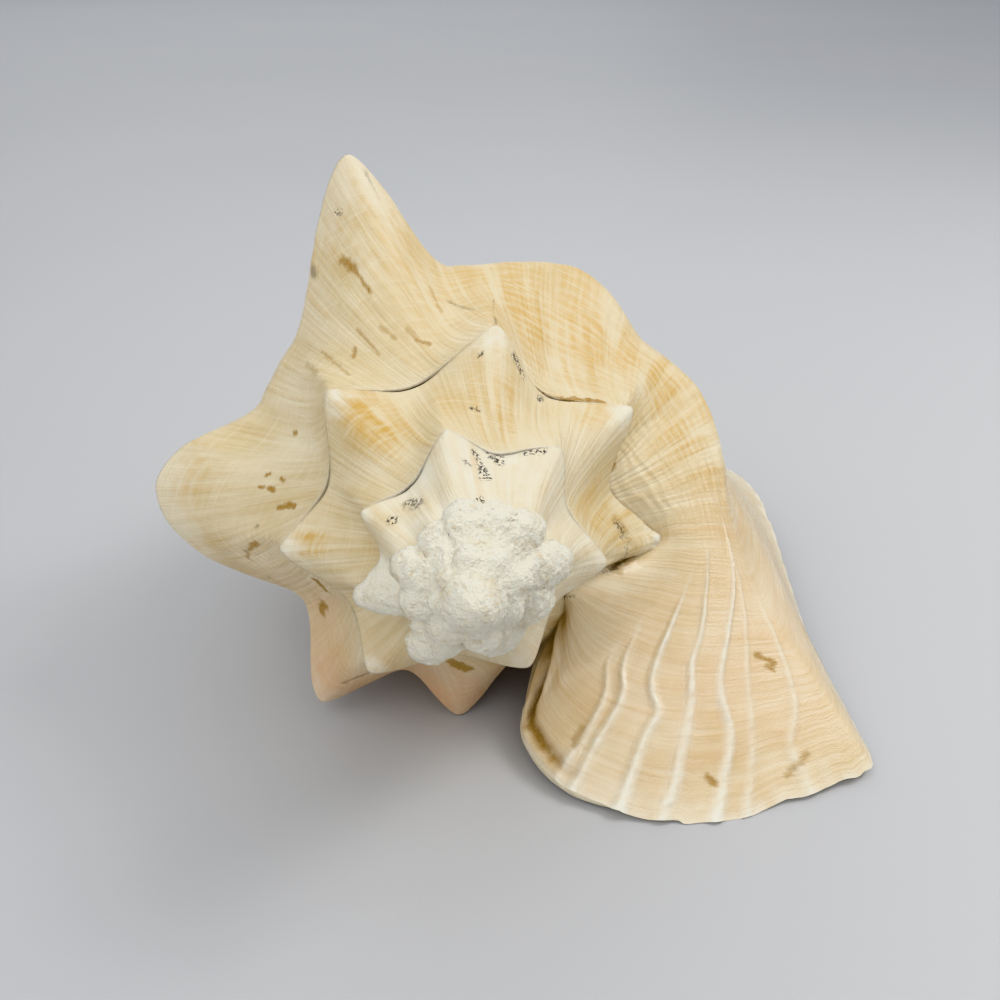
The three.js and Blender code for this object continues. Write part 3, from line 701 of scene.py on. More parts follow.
    def growth_ripples(self, sheet: Sheet) -> Array:
        """Ripples along the growth lines, strongest beside the suture, in millimetres."""
        across, size, bent = sheet.weave[..., 1], self.relative_size(sheet.turn), self.bent(sheet)
        near = 0.45 + 0.9 * np.exp(-across / (9.0 * size))
        ripples = self.heights.growth * flat_noise(bent / 1.4, across / 30.0, 7, 2) * near
        ripples *= 0.75 + 0.5 * flat_noise(bent / 8.0, across / 20.0, 28)
        ribs = wave(bent / 1.6 + 0.7 * flat_noise(bent / 9, across / 9, 24))
        return ripples + self.heights.ribs * ribs * np.exp(-across / (6.0 * size)) * (sheet.turn < 7.25)

    def suture_edge(self, sheet: Sheet) -> Array:
        """Raised rim where the whorl starts, in millimetres."""
        along, across, _ = np.moveaxis(sheet.weave, -1, 0)
        size = self.relative_size(sheet.turn)
        edge = self.heights.suture_edge * bump(across, 0, 1.5 * np.clip(size, 0.4, 1.2))
        return edge * (0.8 + 0.3 * flat_noise(along / 7.0, across / 4, 22, 2)) * np.clip(size, 0.4, 1.1)

    def relief(self, sheet: Sheet) -> Array:
        """Height of the surface detail over the bare form.

        Args:
            sheet: A sheet whose weave is known.

        Returns:
            A height in millimetres for each point.
        """
        along, across, turn = np.moveaxis(sheet.weave, -1, 0)
        h, size = self.heights, self.relative_size(turn)
        growth = self.growth_ripples(sheet)
        steps = h.steps * np.clip(flat_noise(self.bent(sheet) / 5.5, across / 60.0, 14, 2), -0.4, 1)
        threads = h.threads * self.threads(sheet) ** 2 * (sheet.across <= 1)
        threads *= 0.6 + 0.4 * noise(sheet.points / 12.0, 6)
        swell = h.swell * noise(sheet.points / 16.0, 15, 2)
        plain = (growth + steps + threads) * np.clip(size, 0.35, 1.2) + swell * np.clip(size, 0.3, 1.3)
        crust = self.crust(sheet)
        wing = ease((turn - 7.24) / 0.06)
        relief = plain * (1 - 0.6 * wing) * (1 - crust) * ease(across / 1.3)
        relief += self.crust_height(sheet) * crust + h.cords * self.cords(sheet)
        below = ease((sheet.across - 1.03) / 0.05) * (1 - ease((sheet.across - 1.9) / 0.1))
        down = np.maximum(sheet.across - 1, 0) ** 0.9
        spiral = 0.5 + 0.5 * wave(30 * down + 0.3 * noise(sheet.points / 20.0, 25))
        relief += h.spirals * spiral ** 3 * below + 0.25 * growth * below
        brick = ease((turn - 7.08) / 0.08) * (1 - wing) * (sheet.across < 1.1)
        relief += h.bricks * brick * wave(12 * sheet.across + 0.6 * flat_noise(along / 5, across / 5, 23))
        if not sheet.has_lip:
            outer = ease((sheet.across - 0.985) / 0.1)
            relief = relief * (1 - outer) - h.under_seam * outer * np.clip(size, 0.3, 1)
        relief += self.suture_edge(sheet) + self.notch(sheet)
        for crease in CREASES:
            relief -= h.crease * self.streak(sheet, crease)
        for mark in RAISED:
            relief += h.raised * self.streak(sheet, mark)
        relief[:, 0] = 0
        return relief

    def notch(self, sheet: Sheet) -> Array:
        """Glazed rib along the margin beside the suture, with a groove behind it, in millimetres."""
        if not sheet.has_lip:
            return np.zeros(sheet.turn.shape)
        far, valley = sheet.to_margin(), self.valley(sheet)
        upper = ease((0.16 - sheet.across) / 0.05) * (sheet.turn > 7.3)
        lower = bump(sheet.across, 0.22, 0.09) * (sheet.turn > 7.3) * (1 - upper)
        rib = 1.2 * bump(far, 2.6, 2.2) - 1.9 * bump(far, valley, 1.7) + 1.2 * bump(far, valley + 3.6, 2.0)
        brim = 0.9 * bump(far, 1.2, 1.1) - 0.8 * bump(far, 3.6, 1.4)
        return rib * upper + brim * lower

    @staticmethod
    def valley(sheet: Sheet) -> Array:
        """Distance from the margin of the groove behind the glazed rib, in millimetres."""
        return 3.7 + 4.6 * ease((0.175 - sheet.across) / 0.1)


class Piece:
    """One mesh of the finished model, made of sheets."""

    def __init__(self, name: str, material: bpy.types.Material):
        self.name = name
        self.material = material
        self.sheets: list[Sheet] = []
        self.flips: list[bool] = []

    def add(self, sheet: Sheet, flip: bool = False) -> "Piece":
        """Adds a sheet, with its faces turned over if flip is true."""
        self.sheets.append(sheet)
        self.flips.append(flip)
        return self

    def make(self) -> bpy.types.Object:
        """Builds the object in the part's frame and gives it to the body."""
        points, normals, faces, start = [], [], [], 0
        for sheet, flip in zip(self.sheets, self.flips):
            rows, lanes = sheet.turn.shape
            index = start + np.arange(rows * lanes).reshape(rows, lanes)
            quad = np.stack([index[:-1, :-1], index[1:, :-1], index[1:, 1:], index[:-1, 1:]], axis=-1)
            faces.append((quad[..., ::-1] if flip else quad).reshape(-1, 4))
            normal = sheet.facing() if sheet.normals is None else sheet.normals
            normals.append((-normal if flip else normal).reshape(-1, 3))
            points.append(sheet.points.reshape(-1, 3))
            start += rows * lanes
        points = np.concatenate(points) - FORM_TO_PART
        points[:, 2] = np.maximum(points[:, 2], 0)
        faces, normals = np.concatenate(faces), np.concatenate(normals)
        mesh = bpy.data.meshes.new(self.name)
        mesh.vertices.add(len(points))
        mesh.vertices.foreach_set("co", (points * METRES).astype(np.float32).ravel())
        mesh.loops.add(faces.size)
        mesh.loops.foreach_set("vertex_index", faces.astype(np.int32).ravel())
        mesh.polygons.add(len(faces))
        mesh.polygons.foreach_set("loop_start", np.arange(0, faces.size, 4, dtype=np.int32))
        mesh.update(calc_edges=True)
        mesh.polygons.foreach_set("use_smooth", np.ones(len(faces), dtype=bool))
        self.add_values(mesh)
        mesh.validate(clean_customdata=False)
        mesh.normals_split_custom_set_from_vertices(normals.tolist())
        mesh.materials.append(self.material)
        obj = bpy.data.objects.new(self.name, mesh)
        bpy.context.scene.collection.objects.link(obj)
        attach(obj, BODY)
        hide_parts(NODE)
        LOG.info("%s: %d vertices, %d faces", self.name, len(points), len(faces))
        return obj

    def add_values(self, mesh: bpy.types.Mesh) -> None:
        """Stores the sheets' paint and weave on the mesh's points."""
        for paint in Paint:
            values = [s.paint.get(paint.value, np.zeros(s.turn.shape)).ravel() for s in self.sheets]
            layer = mesh.attributes.new(paint.value, "FLOAT", "POINT")
            layer.data.foreach_set("value", np.concatenate(values).astype(np.float32))
        weave = [(np.zeros((*s.turn.shape, 3)) if s.weave is None else s.weave).reshape(-1, 3)
                 for s in self.sheets]
        layer = mesh.attributes.new("weave", "FLOAT_VECTOR", "POINT")
        layer.data.foreach_set("vector", np.concatenate(weave).astype(np.float32).ravel())


class Wire:
    """A value in a material's graph. Arithmetic between wires and numbers adds Math nodes."""

    def __init__(self, graph: "Graph", socket: bpy.types.NodeSocket | None):
        self.graph = graph
        self.socket = socket

    def math(self, operation: str, *others, clamp: bool = False) -> "Wire":
        """A Math node on this wire and up to two others."""
        settings = {"operation": operation, "use_clamp": clamp}
        return self.graph.node("ShaderNodeMath", settings, dict(enumerate((self, *others))))

    def _reflected(self, operation: str, other) -> "Wire":
        return self.graph.node("ShaderNodeMath", {"operation": operation}, {0: other, 1: self})

    def __add__(self, other) -> "Wire":
        return self.math("ADD", other)

    def __sub__(self, other) -> "Wire":
        return self.math("SUBTRACT", other)

    def __mul__(self, other) -> "Wire":
        return self.math("MULTIPLY", other)

    def __truediv__(self, other) -> "Wire":
        return self.math("DIVIDE", other)

    def __rsub__(self, other) -> "Wire":
        return self._reflected("SUBTRACT", other)

    def __rtruediv__(self, other) -> "Wire":
        return self._reflected("DIVIDE", other)

    __radd__ = __add__
    __rmul__ = __mul__

    def clamped(self) -> "Wire":
        """The value kept between 0 and 1."""
        return self.math("ADD", 0.0, clamp=True)

    def stretched(self, low: float, high: float) -> "Wire":
        """0 at low and 1 at high, clamped."""
        return ((self - low) / (high - low)).clamped()


class Graph:
    """A material's node graph."""

    def __init__(self, name: str):
        self.material = bpy.data.materials.new(name)
        self.material.use_nodes = True
        self.tree = self.material.node_tree
        self.tree.nodes.clear()

    def node(self, kind: str, settings: dict | None = None, sockets: dict | None = None,
             output: int | str = 0) -> Wire:
        """Adds a node.

        Args:
            kind: Blender's type name.
            settings: Node properties by name.
            sockets: Wires or constants by input name or number.
            output: Which output the returned wire starts from.
        """
        made = self.tree.nodes.new(kind)
        for name, value in (settings or {}).items():
            setattr(made, name, value)
        for name, value in (sockets or {}).items():
            if isinstance(value, Wire):
                self.tree.links.new(value.socket, made.inputs[name])
            else:
                made.inputs[name].default_value = value
        return Wire(self, made.outputs[output] if made.outputs else None)

    def paint(self, paint: Paint) -> Wire:
        """One of the mesh's paint values."""
        return self.node("ShaderNodeAttribute", {"attribute_name": paint.value}, output="Fac")

    def weave(self, along: float, across: float) -> Wire:
        """The mesh's weave, with features of these lengths in millimetres made one unit long."""
        weave = self.node("ShaderNodeAttribute", {"attribute_name": "weave"}, output="Vector")
        scale = (1.0 / along, 1.0 / across, 0.0)
        return self.node("ShaderNodeVectorMath", {"operation": "MULTIPLY"}, {0: weave, 1: scale})

    def place(self) -> Wire:
        """Position on the object."""
        return self.node("ShaderNodeTexCoord", output="Object")

    def noise(self, vector: Wire, scale: float, detail: float = 2.0, roughness: float = 0.5) -> Wire:
        """Noise from 0 to 1."""
        return self.node("ShaderNodeTexNoise", None, {
            "Vector": vector, "Scale": scale, "Detail": detail, "Roughness": roughness})

    def blend(self, share: Wire, a, b) -> Wire:
        """Colour b over colour a."""
        made = self.node("ShaderNodeMix", {"data_type": "RGBA"}, output=2)
        node = made.socket.node
        for number, value in ((0, share), (6, a), (7, b)):
            if isinstance(value, Wire):
                self.tree.links.new(value.socket, node.inputs[number])
            else:
                node.inputs[number].default_value = value
        return made


def colour(red: int, green: int, blue: int) -> tuple:
    """A display colour of 0 to 255 as linear red, green, blue and alpha."""
    def linear(c: int) -> float:
        c = c / 255
        return c / 12.92 if c <= 0.04045 else ((c + 0.055) / 1.055) ** 2.4
    return linear(red), linear(green), linear(blue), 1.0


@dataclass(frozen=True)
class Finish:
    """Colours and gloss of one kind of shell surface."""

    pale: tuple = colour(234, 222, 191)
    cream: tuple = colour(209, 186, 138)
    ochre: tuple = colour(206, 166, 84)
    rose: tuple = colour(226, 180, 140)
    chalk: tuple = colour(240, 235, 217)
    stain: tuple = colour(168, 130, 56)
    # colour of the painted shade along the suture and of dirt
    dirt_and_shade: tuple = colour(66, 54, 40)
    speck: tuple = colour(44, 40, 34)
    rough: float = 0.5
    polished: float = 0.2
    grain: float = 0.0006


class Coat(Enum):
    """The finishes of the shell's surfaces."""

    OUTSIDE = Finish()
    HOLLOW = Finish(pale=colour(246, 214, 190), cream=colour(240, 190, 164), ochre=colour(226, 160, 120),
                    rose=colour(232, 152, 128), rough=0.26, polished=0.16, grain=0.0001)


class ShellMaterial:
    """Layered aragonite: cream under ochre, rose and chalk, with growth lines and threads."""

    def __init__(self, name: str, finish: Finish):
        self.finish = finish
        self.graph = g = Graph(name)
        self.paint = {kind: g.paint(kind) for kind in Paint}
        self.place = g.place()
        self.lines = g.noise(g.weave(0.8, 22.0), 1.0, 3.0, 0.6)
        self.wide = g.noise(g.weave(4.5, 30.0), 1.0, 2.0)
        self.threads = g.noise(g.weave(14.0, 0.7), 1.0, 2.0, 0.5)
        self.grain = g.noise(self.place, 2400.0, 3.0, 0.6)
        self.pits = g.noise(self.place, 900.0, 2.0, 0.5)

    def base_colour(self) -> Wire:
        """Colour, built up from the plain shell to the specks on top."""
        g, f, p = self.graph, self.finish, self.paint
        lines, wide, grain = self.lines, self.wide, self.grain
        cloud = g.noise(self.place, 60.0, 3.0)
        tone = (cloud - 0.5) * 1.5 + (lines - 0.5) * 1.3 + (wide - 0.5) * 0.9 + 0.5
        # painted highlight: chalk-white glints along the lip's cords
        painted_glint = (p[Paint.CORD] * (g.noise(g.weave(2.2, 3.0), 1.0, 2.0) * 1.8 + 0.1)).clamped()
        warm = g.noise(self.place, 260.0, 3.0, 0.6).stretched(0.54, 0.74)
        layers = (
            (p[Paint.OCHRE] * (0.55 + lines * 0.9) * (1.25 - self.threads * 0.5), f.ochre),
            (p[Paint.ROSE] * (0.5 + wide), f.rose),
            (self.threads.stretched(0.56, 0.7) * 0.35 * (1.0 - p[Paint.GLOSS]), f.pale),
            (p[Paint.CHALK] + p[Paint.CRUST] * (0.75 + cloud * 0.4) + painted_glint * 0.8, f.chalk),
            (p[Paint.CRUST] * self.pits.stretched(0.62, 0.72) * 0.35, f.ochre),
            (p[Paint.CRUST] * warm * 0.5, f.cream),
            (p[Paint.STAIN] * (0.45 + grain), f.stain),
            # dark layer: painted shade along the suture, and dirt
            (p[Paint.DIRT_AND_SHADE] * (0.5 + grain), f.dirt_and_shade),
            (p[Paint.SPECK] * g.noise(self.place, 1700.0, 2.0, 0.6).stretched(0.49, 0.53), f.speck),
        )
        base = g.blend(tone.clamped(), f.pale, f.cream)
        for share, over in layers:
            base = g.blend(share.clamped(), base, over)
        return base

    def roughness(self) -> Wire:
        """Satin on the shell, dull on crust and stains, and glossier on the lip."""
        f, p = self.finish, self.paint
        rough = f.rough + (self.grain - 0.5) * 0.16 + (self.lines - 0.5) * 0.12
        rough = rough + p[Paint.CHALK] * 0.2 + p[Paint.CRUST] * 0.3 + p[Paint.STAIN] * 0.12
        return (rough - p[Paint.GLOSS] * (f.rough - f.polished) * (1.0 - p[Paint.CRUST])).clamped()

    def height(self) -> Wire:
        """Fine height for the bump: growth lines, threads, grain and the crust's pits."""
        gloss, crust = self.paint[Paint.GLOSS], self.paint[Paint.CRUST]
        shell = self.lines * (0.9 - gloss * 0.4) + self.threads * 0.4 * (1.0 - gloss * 0.6)
        return shell + self.wide * 0.4 + self.grain * 0.24 + crust * (self.pits * 1.6 + self.grain * 0.9)

    def build(self) -> bpy.types.Material:
        """Joins the shader and returns the material."""
        g, p = self.graph, self.paint
        normal = g.node("ShaderNodeBump", None, {
            "Strength": 0.75, "Distance": self.finish.grain, "Height": self.height()})
        shader = g.node("ShaderNodeBsdfPrincipled", None, {
            "Base Color": self.base_colour(), "Roughness": self.roughness(), "Normal": normal,
            "IOR": 1.53, "Subsurface Weight": 0.04, "Subsurface Radius": (1.0, 0.6, 0.4),
            "Subsurface Scale": 0.002, "Coat Roughness": 0.12,
            "Coat Weight": (p[Paint.GLOSS] * 0.3 + p[Paint.CORD] * 0.7).clamped()})
        g.node("ShaderNodeOutputMaterial", None, {"Surface": shader})
        return g.material


def even_turns(form: GrowthForm, first: float, last: float, count: int) -> Array:
    """Turns from first to last at about even distances along the shell."""
    turns = np.linspace(first, last, 241)
    grid, place = np.meshgrid(turns, np.linspace(0.1, 1.0, 7), indexing="ij")
    step = np.linalg.norm(np.diff(form.ramp_point(grid, place), axis=0), axis=-1).mean(axis=1)
    far = np.concatenate([[0], np.cumsum(step)])
    return np.interp(np.linspace(0, far[-1], count), far, turns)


@dataclass
class Spire:
    """The whorls that show only their ramps."""

    form: GrowthForm
    rows: int = 1800
    lanes: int = 48
    crest_lanes: int = 3
    crest_step: float = 0.03
    slant: float = 0.5
    cap_radius: float = 5.2
    cap_slope: float = 1.5
    cap_spokes: int = 97
    cap_rings: int = 26

    def sheet(self) -> Sheet:
        """The ramps from the first turn to where the body whorl starts."""
        form = self.form
        s = np.linspace(0, 1, self.rows)
        turns = form.first_turn + (form.exposed_turn - form.first_turn) * (1.6 * s - 0.6 * s * s)
        w = np.concatenate([[0], np.linspace(0, 1, self.lanes) ** 1.15])
        crest = 1 + self.crest_step * np.arange(1, self.crest_lanes + 1)
        turn, across = np.meshgrid(turns, np.concatenate([w, crest]), indexing="ij")
        shown = form.uncovered(turn)
        w = unit(across) * shown
        points = form.ramp_point(turn, w)
        suture = form.side_point(turn, np.zeros_like(turn))
        beyond = (unit(across - 1) / (self.crest_step * self.crest_lanes) * (shown > 0.999))[..., None]
        points = points * (1 - beyond) + suture * beyond
        start, end = form.place(turn, form.suture(turn)), form.place(turn + 1, form.suture(turn + 1))
        chord = start + (end - start) * unit(across)[..., None]
        straight = ease((1 - shown) / 0.15)[..., None]
        return Sheet(turn, across, points * (1 - straight) + chord * straight)

    def cap(self, decorator: Decorator) -> Sheet:
        """Crusted dome over the very tip."""
        form = self.form
        angle, radius = np.meshgrid(np.linspace(0, 1, self.cap_spokes),
                                    np.linspace(0, self.cap_radius, self.cap_rings), indexing="ij")
        axis = np.array([0.0, -math.cos(form.slope), math.sin(form.slope)])
        turn = np.full(angle.shape, form.first_turn + 1)
        bent = form.bent_tip(np.full(angle.shape, form.lean_first))
        points = form.place(angle, (self.cap_slope * radius, radius)) + bent
        centre = form.place(angle, (self.cap_slope * radius, np.zeros_like(radius))) + bent
        sheet = Sheet(turn, np.full(turn.shape, 0.7), points)
        sheet.weave = np.stack([angle * 20, radius, turn], axis=-1)
        sheet.paint = {Paint.CRUST.value: np.ones(turn.shape)}
        dome = 0.5 * (1 - ease((radius / self.cap_radius - 0.55) / 0.45)) - 0.25
        height = decorator.crust_height(sheet) + dome
        sheet.points = points + directions((points - centre) * 0.25 + axis) * height[..., None]
        return sheet

    def build(self, decorator: Decorator, material: bpy.types.Material) -> None:
        """Makes the piece."""
        sheet = self.sheet()
        sheet.measure(0.0, self.slant)
        decorator.decorate(sheet)
        sheet.push(decorator.relief(sheet))
        Piece("spire", material).add(sheet).add(self.cap(decorator)).make()


@dataclass
class BodyWhorl:
    """The last whorl with its flared lip: the ramp above and the side down to the canal."""

    form: GrowthForm
    rows: int = 860
    ramp_lanes: int = 104
    side_lanes: int = 78
    edge_reach: int = 9
    edge_passes: int = 16
    weave_start: float = 1000.0
    slant: float = 0.85
    chip: float = 0.95
    reach: tuple = ((0, 0), (.35, 0), (.45, 1.4), (.5, 2.1), (.6, 2.5), (.65, 3.0), (.7, 2.9), (.75, 2.0),
                    (.85, 2.0), (.95, 1.6), (1.0, 1.3), (1.15, .5), (1.3, 0), (2, 0))

    def sheet(self) -> Sheet:
        """Ramp and side as one grid."""
        form = self.form
        turns = even_turns(form, form.exposed_turn, form.last_turn, self.rows)
        w = np.concatenate([[0], np.linspace(0, 1, self.ramp_lanes) ** 1.1])
        v = np.linspace(0, 1, self.side_lanes + 1)[1:] ** 1.25
        turn, across = np.meshgrid(turns, np.concatenate([w, 1 + v]), indexing="ij")
        ramp = across <= 1
        points = form.ramp_point(turn, unit(across))
        side = form.side_point(turn, unit(across - 1))
        sheet = Sheet(turn, across, np.where(ramp[..., None], points, side))
        place = across[-1]
        flat = np.zeros_like(place)
        nicks = unit(flat_noise(place * 34, flat, 43) - 0.35)
        ragged = flat_noise(place * 24, flat, 41, 3) + 0.7 * flat_noise(place * 9, flat, 42) - 2.4 * nicks
        longer = through(self.reach, place)[:, 0] + self.chip * ragged * ease((place - 0.02) / 0.1)
        grows = directions(sheet.points[-1] - sheet.points[-6])
        sheet.points += grows * longer[:, None] * ease((turn - 7.35) / 0.05)[..., None]
        return sheet

    def build(self, decorator: Decorator, material: bpy.types.Material) -> Sheet:
        """Makes the two pieces and returns the whole sheet."""
        sheet = self.sheet()
        turn = sheet.turn[:, 0]
        spine = unit(self.form.spine_height(turn) / (0.22 * self.form.size(turn)))
        lip = ease((turn - 7.3) / 0.05)
        sheet.round_off(self.ramp_lanes, self.edge_reach, self.edge_passes,
                        (1 - 0.98 * np.sqrt(spine)) * (1 - 0.9 * lip))
        sheet.measure(self.weave_start, self.slant)
        decorator.decorate(sheet)
        sheet.push(decorator.relief(sheet))
        sheet.normals = sheet.facing()
        Piece("body_ramp", material).add(sheet.cut(0, self.ramp_lanes)).make()
        Piece("body_side", material).add(sheet.cut(self.ramp_lanes, sheet.turn.shape[1] - 1)).make()
        return sheet


@dataclass
class Hollow:
    """The inner wall, the rim of the lip and what shows deep inside."""

    form: GrowthForm
    ramp_columns: int = 7
    side_columns: int = 12
    steps: int = 60
    refine: int = 4
    across_refine: int = 5
    rim: float = 1.9
    deep: float = 4.2
    spine_share: float = 0.2
    smoothing: int = 6
    deep_turns: tuple = (5.75, 6.4)
    deep_rows: int = 160
    deep_lanes: int = 90

    @property
    def suture_column(self) -> int:
        """Column of the suture."""
        return self.ramp_columns + 1

    @property
    def wall_column(self) -> int:
        """Column where the hollow starts."""
        return self.suture_column + 2

    @property
    def columns(self) -> int:
        """Columns across one whorl."""
        return self.wall_column + self.side_columns + 1

    def outside(self, turn: Array, column: Array) -> Array:
        """Outside point at a column of the coarse grid, with the spines' height reduced."""
        form, share = self.form, self.spine_share
        turn = np.minimum(turn, form.last_turn)
        ramp = form.ramp_point(turn, unit(column / self.ramp_columns), share)
        length = form.canal_end - form.shoulder(np.minimum(turn, form.formula_end))[0]
        wall = (9 + 8 * unit((form.exposed_turn - turn) / 0.15)) / length
        near = wall * np.clip(column - self.suture_column, 0, 2) / 2
        far = (1 - wall) * unit((column - self.wall_column) / self.side_columns)
        side = form.side_point(turn, near + far, share)
        join = unit(column - self.ramp_columns)[..., None]
        return ramp * (1 - join) + side * join

    def inner_lines(self) -> tuple[Array, Array]:
        """Turns and inner wall points on the coarse grid."""
        form = self.form
        count = round((form.last_turn - form.cavity_turn) * self.steps)
        turns = np.linspace(form.cavity_turn, form.last_turn, count + 1)
        turn, column = np.meshgrid(turns, np.arange(self.columns, dtype=float), indexing="ij")
        left = form.last_turn - turn
        reach = 1 - 0.25 * unit(left / (form.last_turn - form.cavity_turn))
        skip = 3.2 * unit(left / 0.2)
        c = np.where(column > self.wall_column, self.wall_column + (column - self.wall_column) * reach, column)
        c = np.where(column < self.ramp_columns, skip + (self.ramp_columns - skip) * column / self.ramp_columns, c)
        last = self.columns - 1
        along = self.outside(turn + 0.004, c) - self.outside(turn - 0.004, c)
        over = self.outside(turn, np.minimum(c + 0.4, last)) - self.outside(turn, np.maximum(c - 0.4, 0))
        wall = self.rim + (self.deep - self.rim) * ease(left / 0.12)
        points = self.outside(turn, c) - directions(np.cross(along, over)) * wall[..., None]
        before = self.outside(turn - 1, np.full_like(column, self.wall_column))
        end = self.outside(turn - 1, np.full_like(column, last))
        inward = unit(left / 0.2)
        first = (1 - ease(column / (1.1 + 1.4 * inward)))[..., None]
        final = ease((column - last) / 6 + 1)[..., None]
        points = points * (1 - first) + before * first
        points = points * (1 - final) + end * final
        for _ in range(self.smoothing):
            k = np.arange(self.suture_column - 4, self.wall_column + 5)
            points[:, k] = 0.5 * points[:, k] + 0.25 * (points[:, k - 1] + points[:, k + 1])
        return turns, points

    @staticmethod
    def refined(grid: Array, times: int) -> Array:
        """The grid with its first axis made finer along smooth curves."""
        n = len(grid) - 1
        x = np.linspace(0, n, n * times + 1)
        i = np.minimum(x.astype(int), n - 1)
        s = (x - i).reshape((-1,) + (1,) * (grid.ndim - 1))
        a, b = grid[np.maximum(i - 1, 0)], grid[i]
        c, d = grid[i + 1], grid[np.minimum(i + 2, n)]
        return hermite(s, b, (c - a) / 2, c, (d - b) / 2)

    def build(self, outer: Sheet, inside: bpy.types.Material, outside: bpy.types.Material) -> None:
        """Makes the inner wall, the deep side and the rim.

        Args:
            outer: The last whorl's skin.
            inside: Material of the hollow.
            outside: Material of the rim.
        """
        turns, coarse = self.inner_lines()
        wall = self.refined(coarse, self.refine)
        wall = np.swapaxes(self.refined(np.swapaxes(wall, 0, 1), self.across_refine), 0, 1)
        turn = np.repeat(self.refined(turns[:, None], self.refine), wall.shape[1], axis=1)
        column = np.linspace(0, self.columns - 1, wall.shape[1])
        beyond = 1 + (column - self.suture_column) / (self.columns - 1 - self.suture_column)
        across = np.where(column < self.suture_column, column / self.suture_column, beyond)
        inner = Sheet(turn, np.broadcast_to(across, turn.shape), wall)
        self.colour(inner)
        column = np.linspace(self.wall_column, self.columns - 1, self.deep_lanes)
        turn, column = np.meshgrid(np.linspace(*self.deep_turns, self.deep_rows), column, indexing="ij")
        deep = Sheet(turn, 1 + (column - self.wall_column) / self.side_columns, self.outside(turn, column))
        self.colour(deep)
        piece = Piece("hollow", inside).add(inner, flip=True).add(deep)
        piece.add(self.cap(inner, deep), flip=True)
        piece.make()
        Piece("rim", outside).add(self.rim_sheet(outer, inner)).make()

    @staticmethod
    def cap(inner: Sheet, deep: Sheet) -> Sheet:
        """Closes the deep end of the hollow."""
        a = inner.points[0]
        s = np.linspace(0, 1, len(a))
        b = np.stack([np.interp(s, np.linspace(0, 1, deep.points.shape[1]), deep.points[0][:, k])
                      for k in range(3)], axis=-1)
        mix = np.linspace(0, 1, 8)[:, None, None]
        points = b[None] * (1 - mix) + a[None] * mix
        turn = np.full(points.shape[:2], inner.turn[0, 0])
        sheet = Sheet(turn, np.broadcast_to(s, turn.shape), points)
        Hollow.colour(sheet)
        return sheet

    @staticmethod
    def colour(sheet: Sheet) -> None:
        """Rose deep inside, paler towards the rim."""
        sheet.measure(2000.0)
        pale = ease((sheet.turn - 7.1) / 0.3)
        rose = unit(0.75 - 0.6 * pale + 0.25 * noise(sheet.points / 14.0, 51, 2))
        sheet.paint = {Paint.ROSE.value: rose, Paint.GLOSS.value: np.full(sheet.turn.shape, 0.8)}

    def rim_sheet(self, outer: Sheet, inner: Sheet) -> Sheet:
        """The rounded edge of the lip from the outer skin to the inner wall."""
        edge = outer.points[-1]
        grows = directions(edge - outer.points[-4])
        place = outer.across[-1]
        line = inner.points[-1]
        inner_place = inner.across[-1]
        back = np.stack([np.interp(place, inner_place, line[:, k]) for k in range(3)], axis=-1)
        s = np.linspace(0, 1, 9)[:, None, None]
        swell = np.sin(np.pi * s) ** 0.8
        thick = np.linalg.norm(back - edge, axis=-1)[None, :, None]
        points = edge[None] * (1 - s) + back[None] * s + grows[None] * swell * np.clip(thick * 0.3, 0.2, 0.9)
        turn = np.full(points.shape[:2], self.form.last_turn)
        sheet = Sheet(turn, np.broadcast_to(place, turn.shape), points)
        sheet.measure(3000.0)
        sheet.paint = {Paint.GLOSS.value: np.full(turn.shape, 0.6),
                       Paint.CHALK.value: np.full(turn.shape, 0.35)}
        return sheet


@dataclass(frozen=True)
class Lamp:
    """A soft square light: where it is, its side and its power."""

    name: str
    place: tuple
    side: float
    watts: float
    tint: tuple = (1.0, 1.0, 1.0)


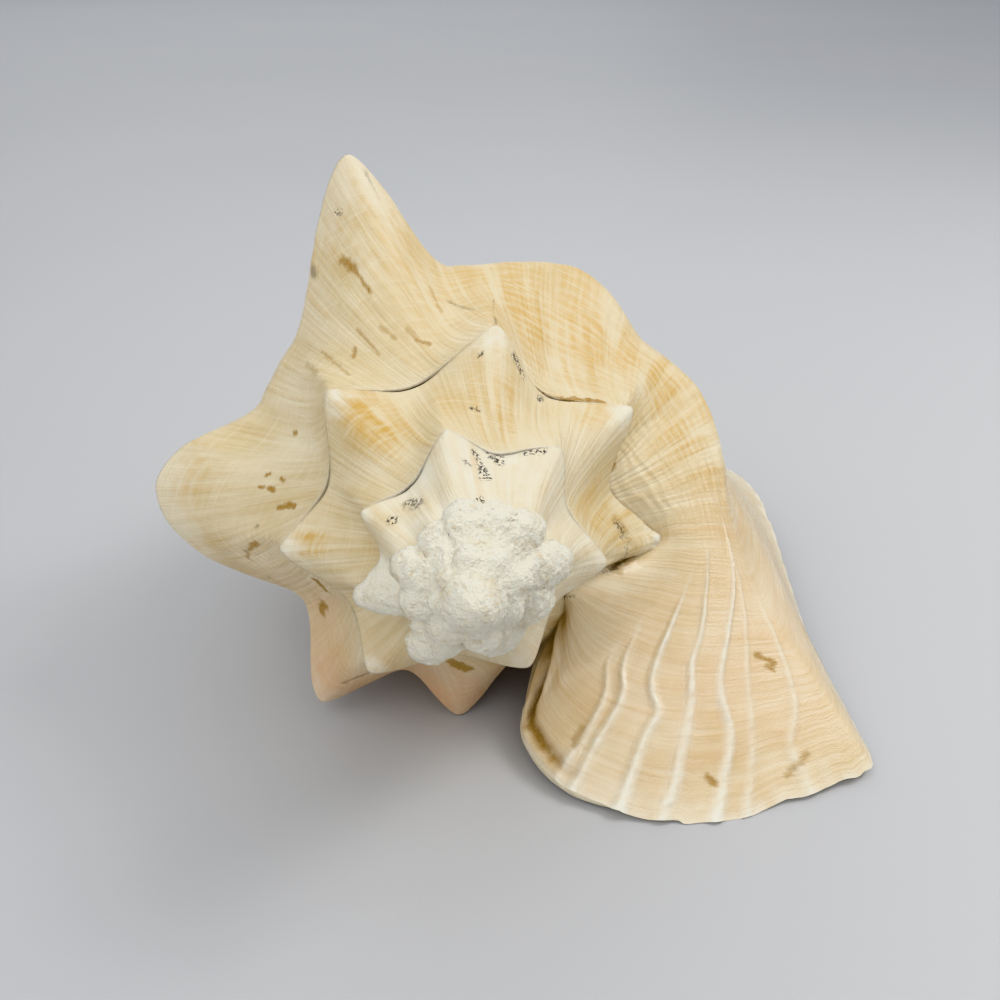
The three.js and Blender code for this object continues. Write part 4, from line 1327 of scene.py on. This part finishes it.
class Studio:
    """Floor, lights and the camera at the photograph's viewing angle."""

    LAMPS = (
        Lamp("key", (0.56, -0.02, 0.66), 0.32, 2.9, (1.0, 0.98, 0.95)),
        Lamp("far", (0.0, 2.6, 1.5), 2.2, 12.0, (1.0, 1.0, 1.0)),
        Lamp("fill", (-0.55, -0.6, 0.7), 0.9, 3.0, (1.0, 0.99, 0.97)),
        Lamp("ceiling", (0.05, -0.35, 1.6), 2.6, 11.0, (1.0, 1.0, 1.0)),
    )
    CAMERA = (-0.045466, -0.243501, 0.170583)
    FORWARD = (0.1591, 0.8513, -0.5)
    SENSOR = LENS = 36.0
    CLIP = (0.01, 20.0)
    FLOOR_SIDE = 6.0
    SURROUND = (0.86, 0.89, 0.94, 1.0)
    SURROUND_STRENGTH = 0.60

    def floor(self) -> None:
        """A wide pale floor."""
        bpy.ops.mesh.primitive_grid_add(x_subdivisions=8, y_subdivisions=8, size=self.FLOOR_SIDE)
        floor = bpy.context.object
        floor.name = "floor"
        graph = Graph("floor")
        cloud = graph.noise(graph.place(), 3.0, 2.0)
        base = graph.blend(cloud, colour(190, 190, 191), colour(184, 185, 187))
        shader = graph.node("ShaderNodeBsdfPrincipled", None, {"Base Color": base, "Roughness": 0.55})
        graph.node("ShaderNodeOutputMaterial", None, {"Surface": shader})
        floor.data.materials.append(graph.material)

    def lights(self) -> None:
        """Soft lamps and a pale surrounding."""
        for lamp in self.LAMPS:
            data = bpy.data.lights.new(lamp.name, "AREA")
            data.size, data.energy, data.color = lamp.side, lamp.watts, lamp.tint
            obj = bpy.data.objects.new(lamp.name, data)
            obj.location = lamp.place
            obj.rotation_euler = (-Vector(lamp.place)).to_track_quat("-Z", "Y").to_euler()
            bpy.context.scene.collection.objects.link(obj)
        world = bpy.data.worlds.new("surround")
        world.use_nodes = True
        background = world.node_tree.nodes["Background"]
        background.inputs["Color"].default_value = self.SURROUND
        background.inputs["Strength"].default_value = self.SURROUND_STRENGTH
        bpy.context.scene.world = world
        bpy.context.scene.view_settings.view_transform = "Khronos PBR Neutral"

    def camera(self) -> None:
        """The camera, close above the spire."""
        data = bpy.data.cameras.new("camera")
        data.sensor_width, data.lens = self.SENSOR, self.LENS
        data.clip_start, data.clip_end = self.CLIP
        obj = bpy.data.objects.new("camera", data)
        forward = Vector(self.FORWARD).normalized()
        right = forward.cross(Vector((0, 0, 1))).normalized()
        up = right.cross(forward)
        obj.matrix_world = Matrix((
            (right.x, up.x, -forward.x, self.CAMERA[0]), (right.y, up.y, -forward.y, self.CAMERA[1]),
            (right.z, up.z, -forward.z, self.CAMERA[2]), (0, 0, 0, 1)))
        bpy.context.scene.collection.objects.link(obj)
        bpy.context.scene.camera = obj


def main() -> None:
    """Builds the studio and the shell's pieces in order."""
    logging.basicConfig(level=logging.INFO, format="%(name)s %(message)s")
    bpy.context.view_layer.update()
    studio = Studio()
    studio.camera()
    studio.lights()
    studio.floor()
    form = GrowthForm()
    decorator = Decorator(form)
    outside = ShellMaterial("shell_outside", Coat.OUTSIDE.value).build()
    inside = ShellMaterial("shell_hollow", Coat.HOLLOW.value).build()
    Spire(form).build(decorator, outside)
    skin = BodyWhorl(form).build(decorator, outside)
    Hollow(form).build(skin, inside, outside)


if __name__ == "__main__":
    main()
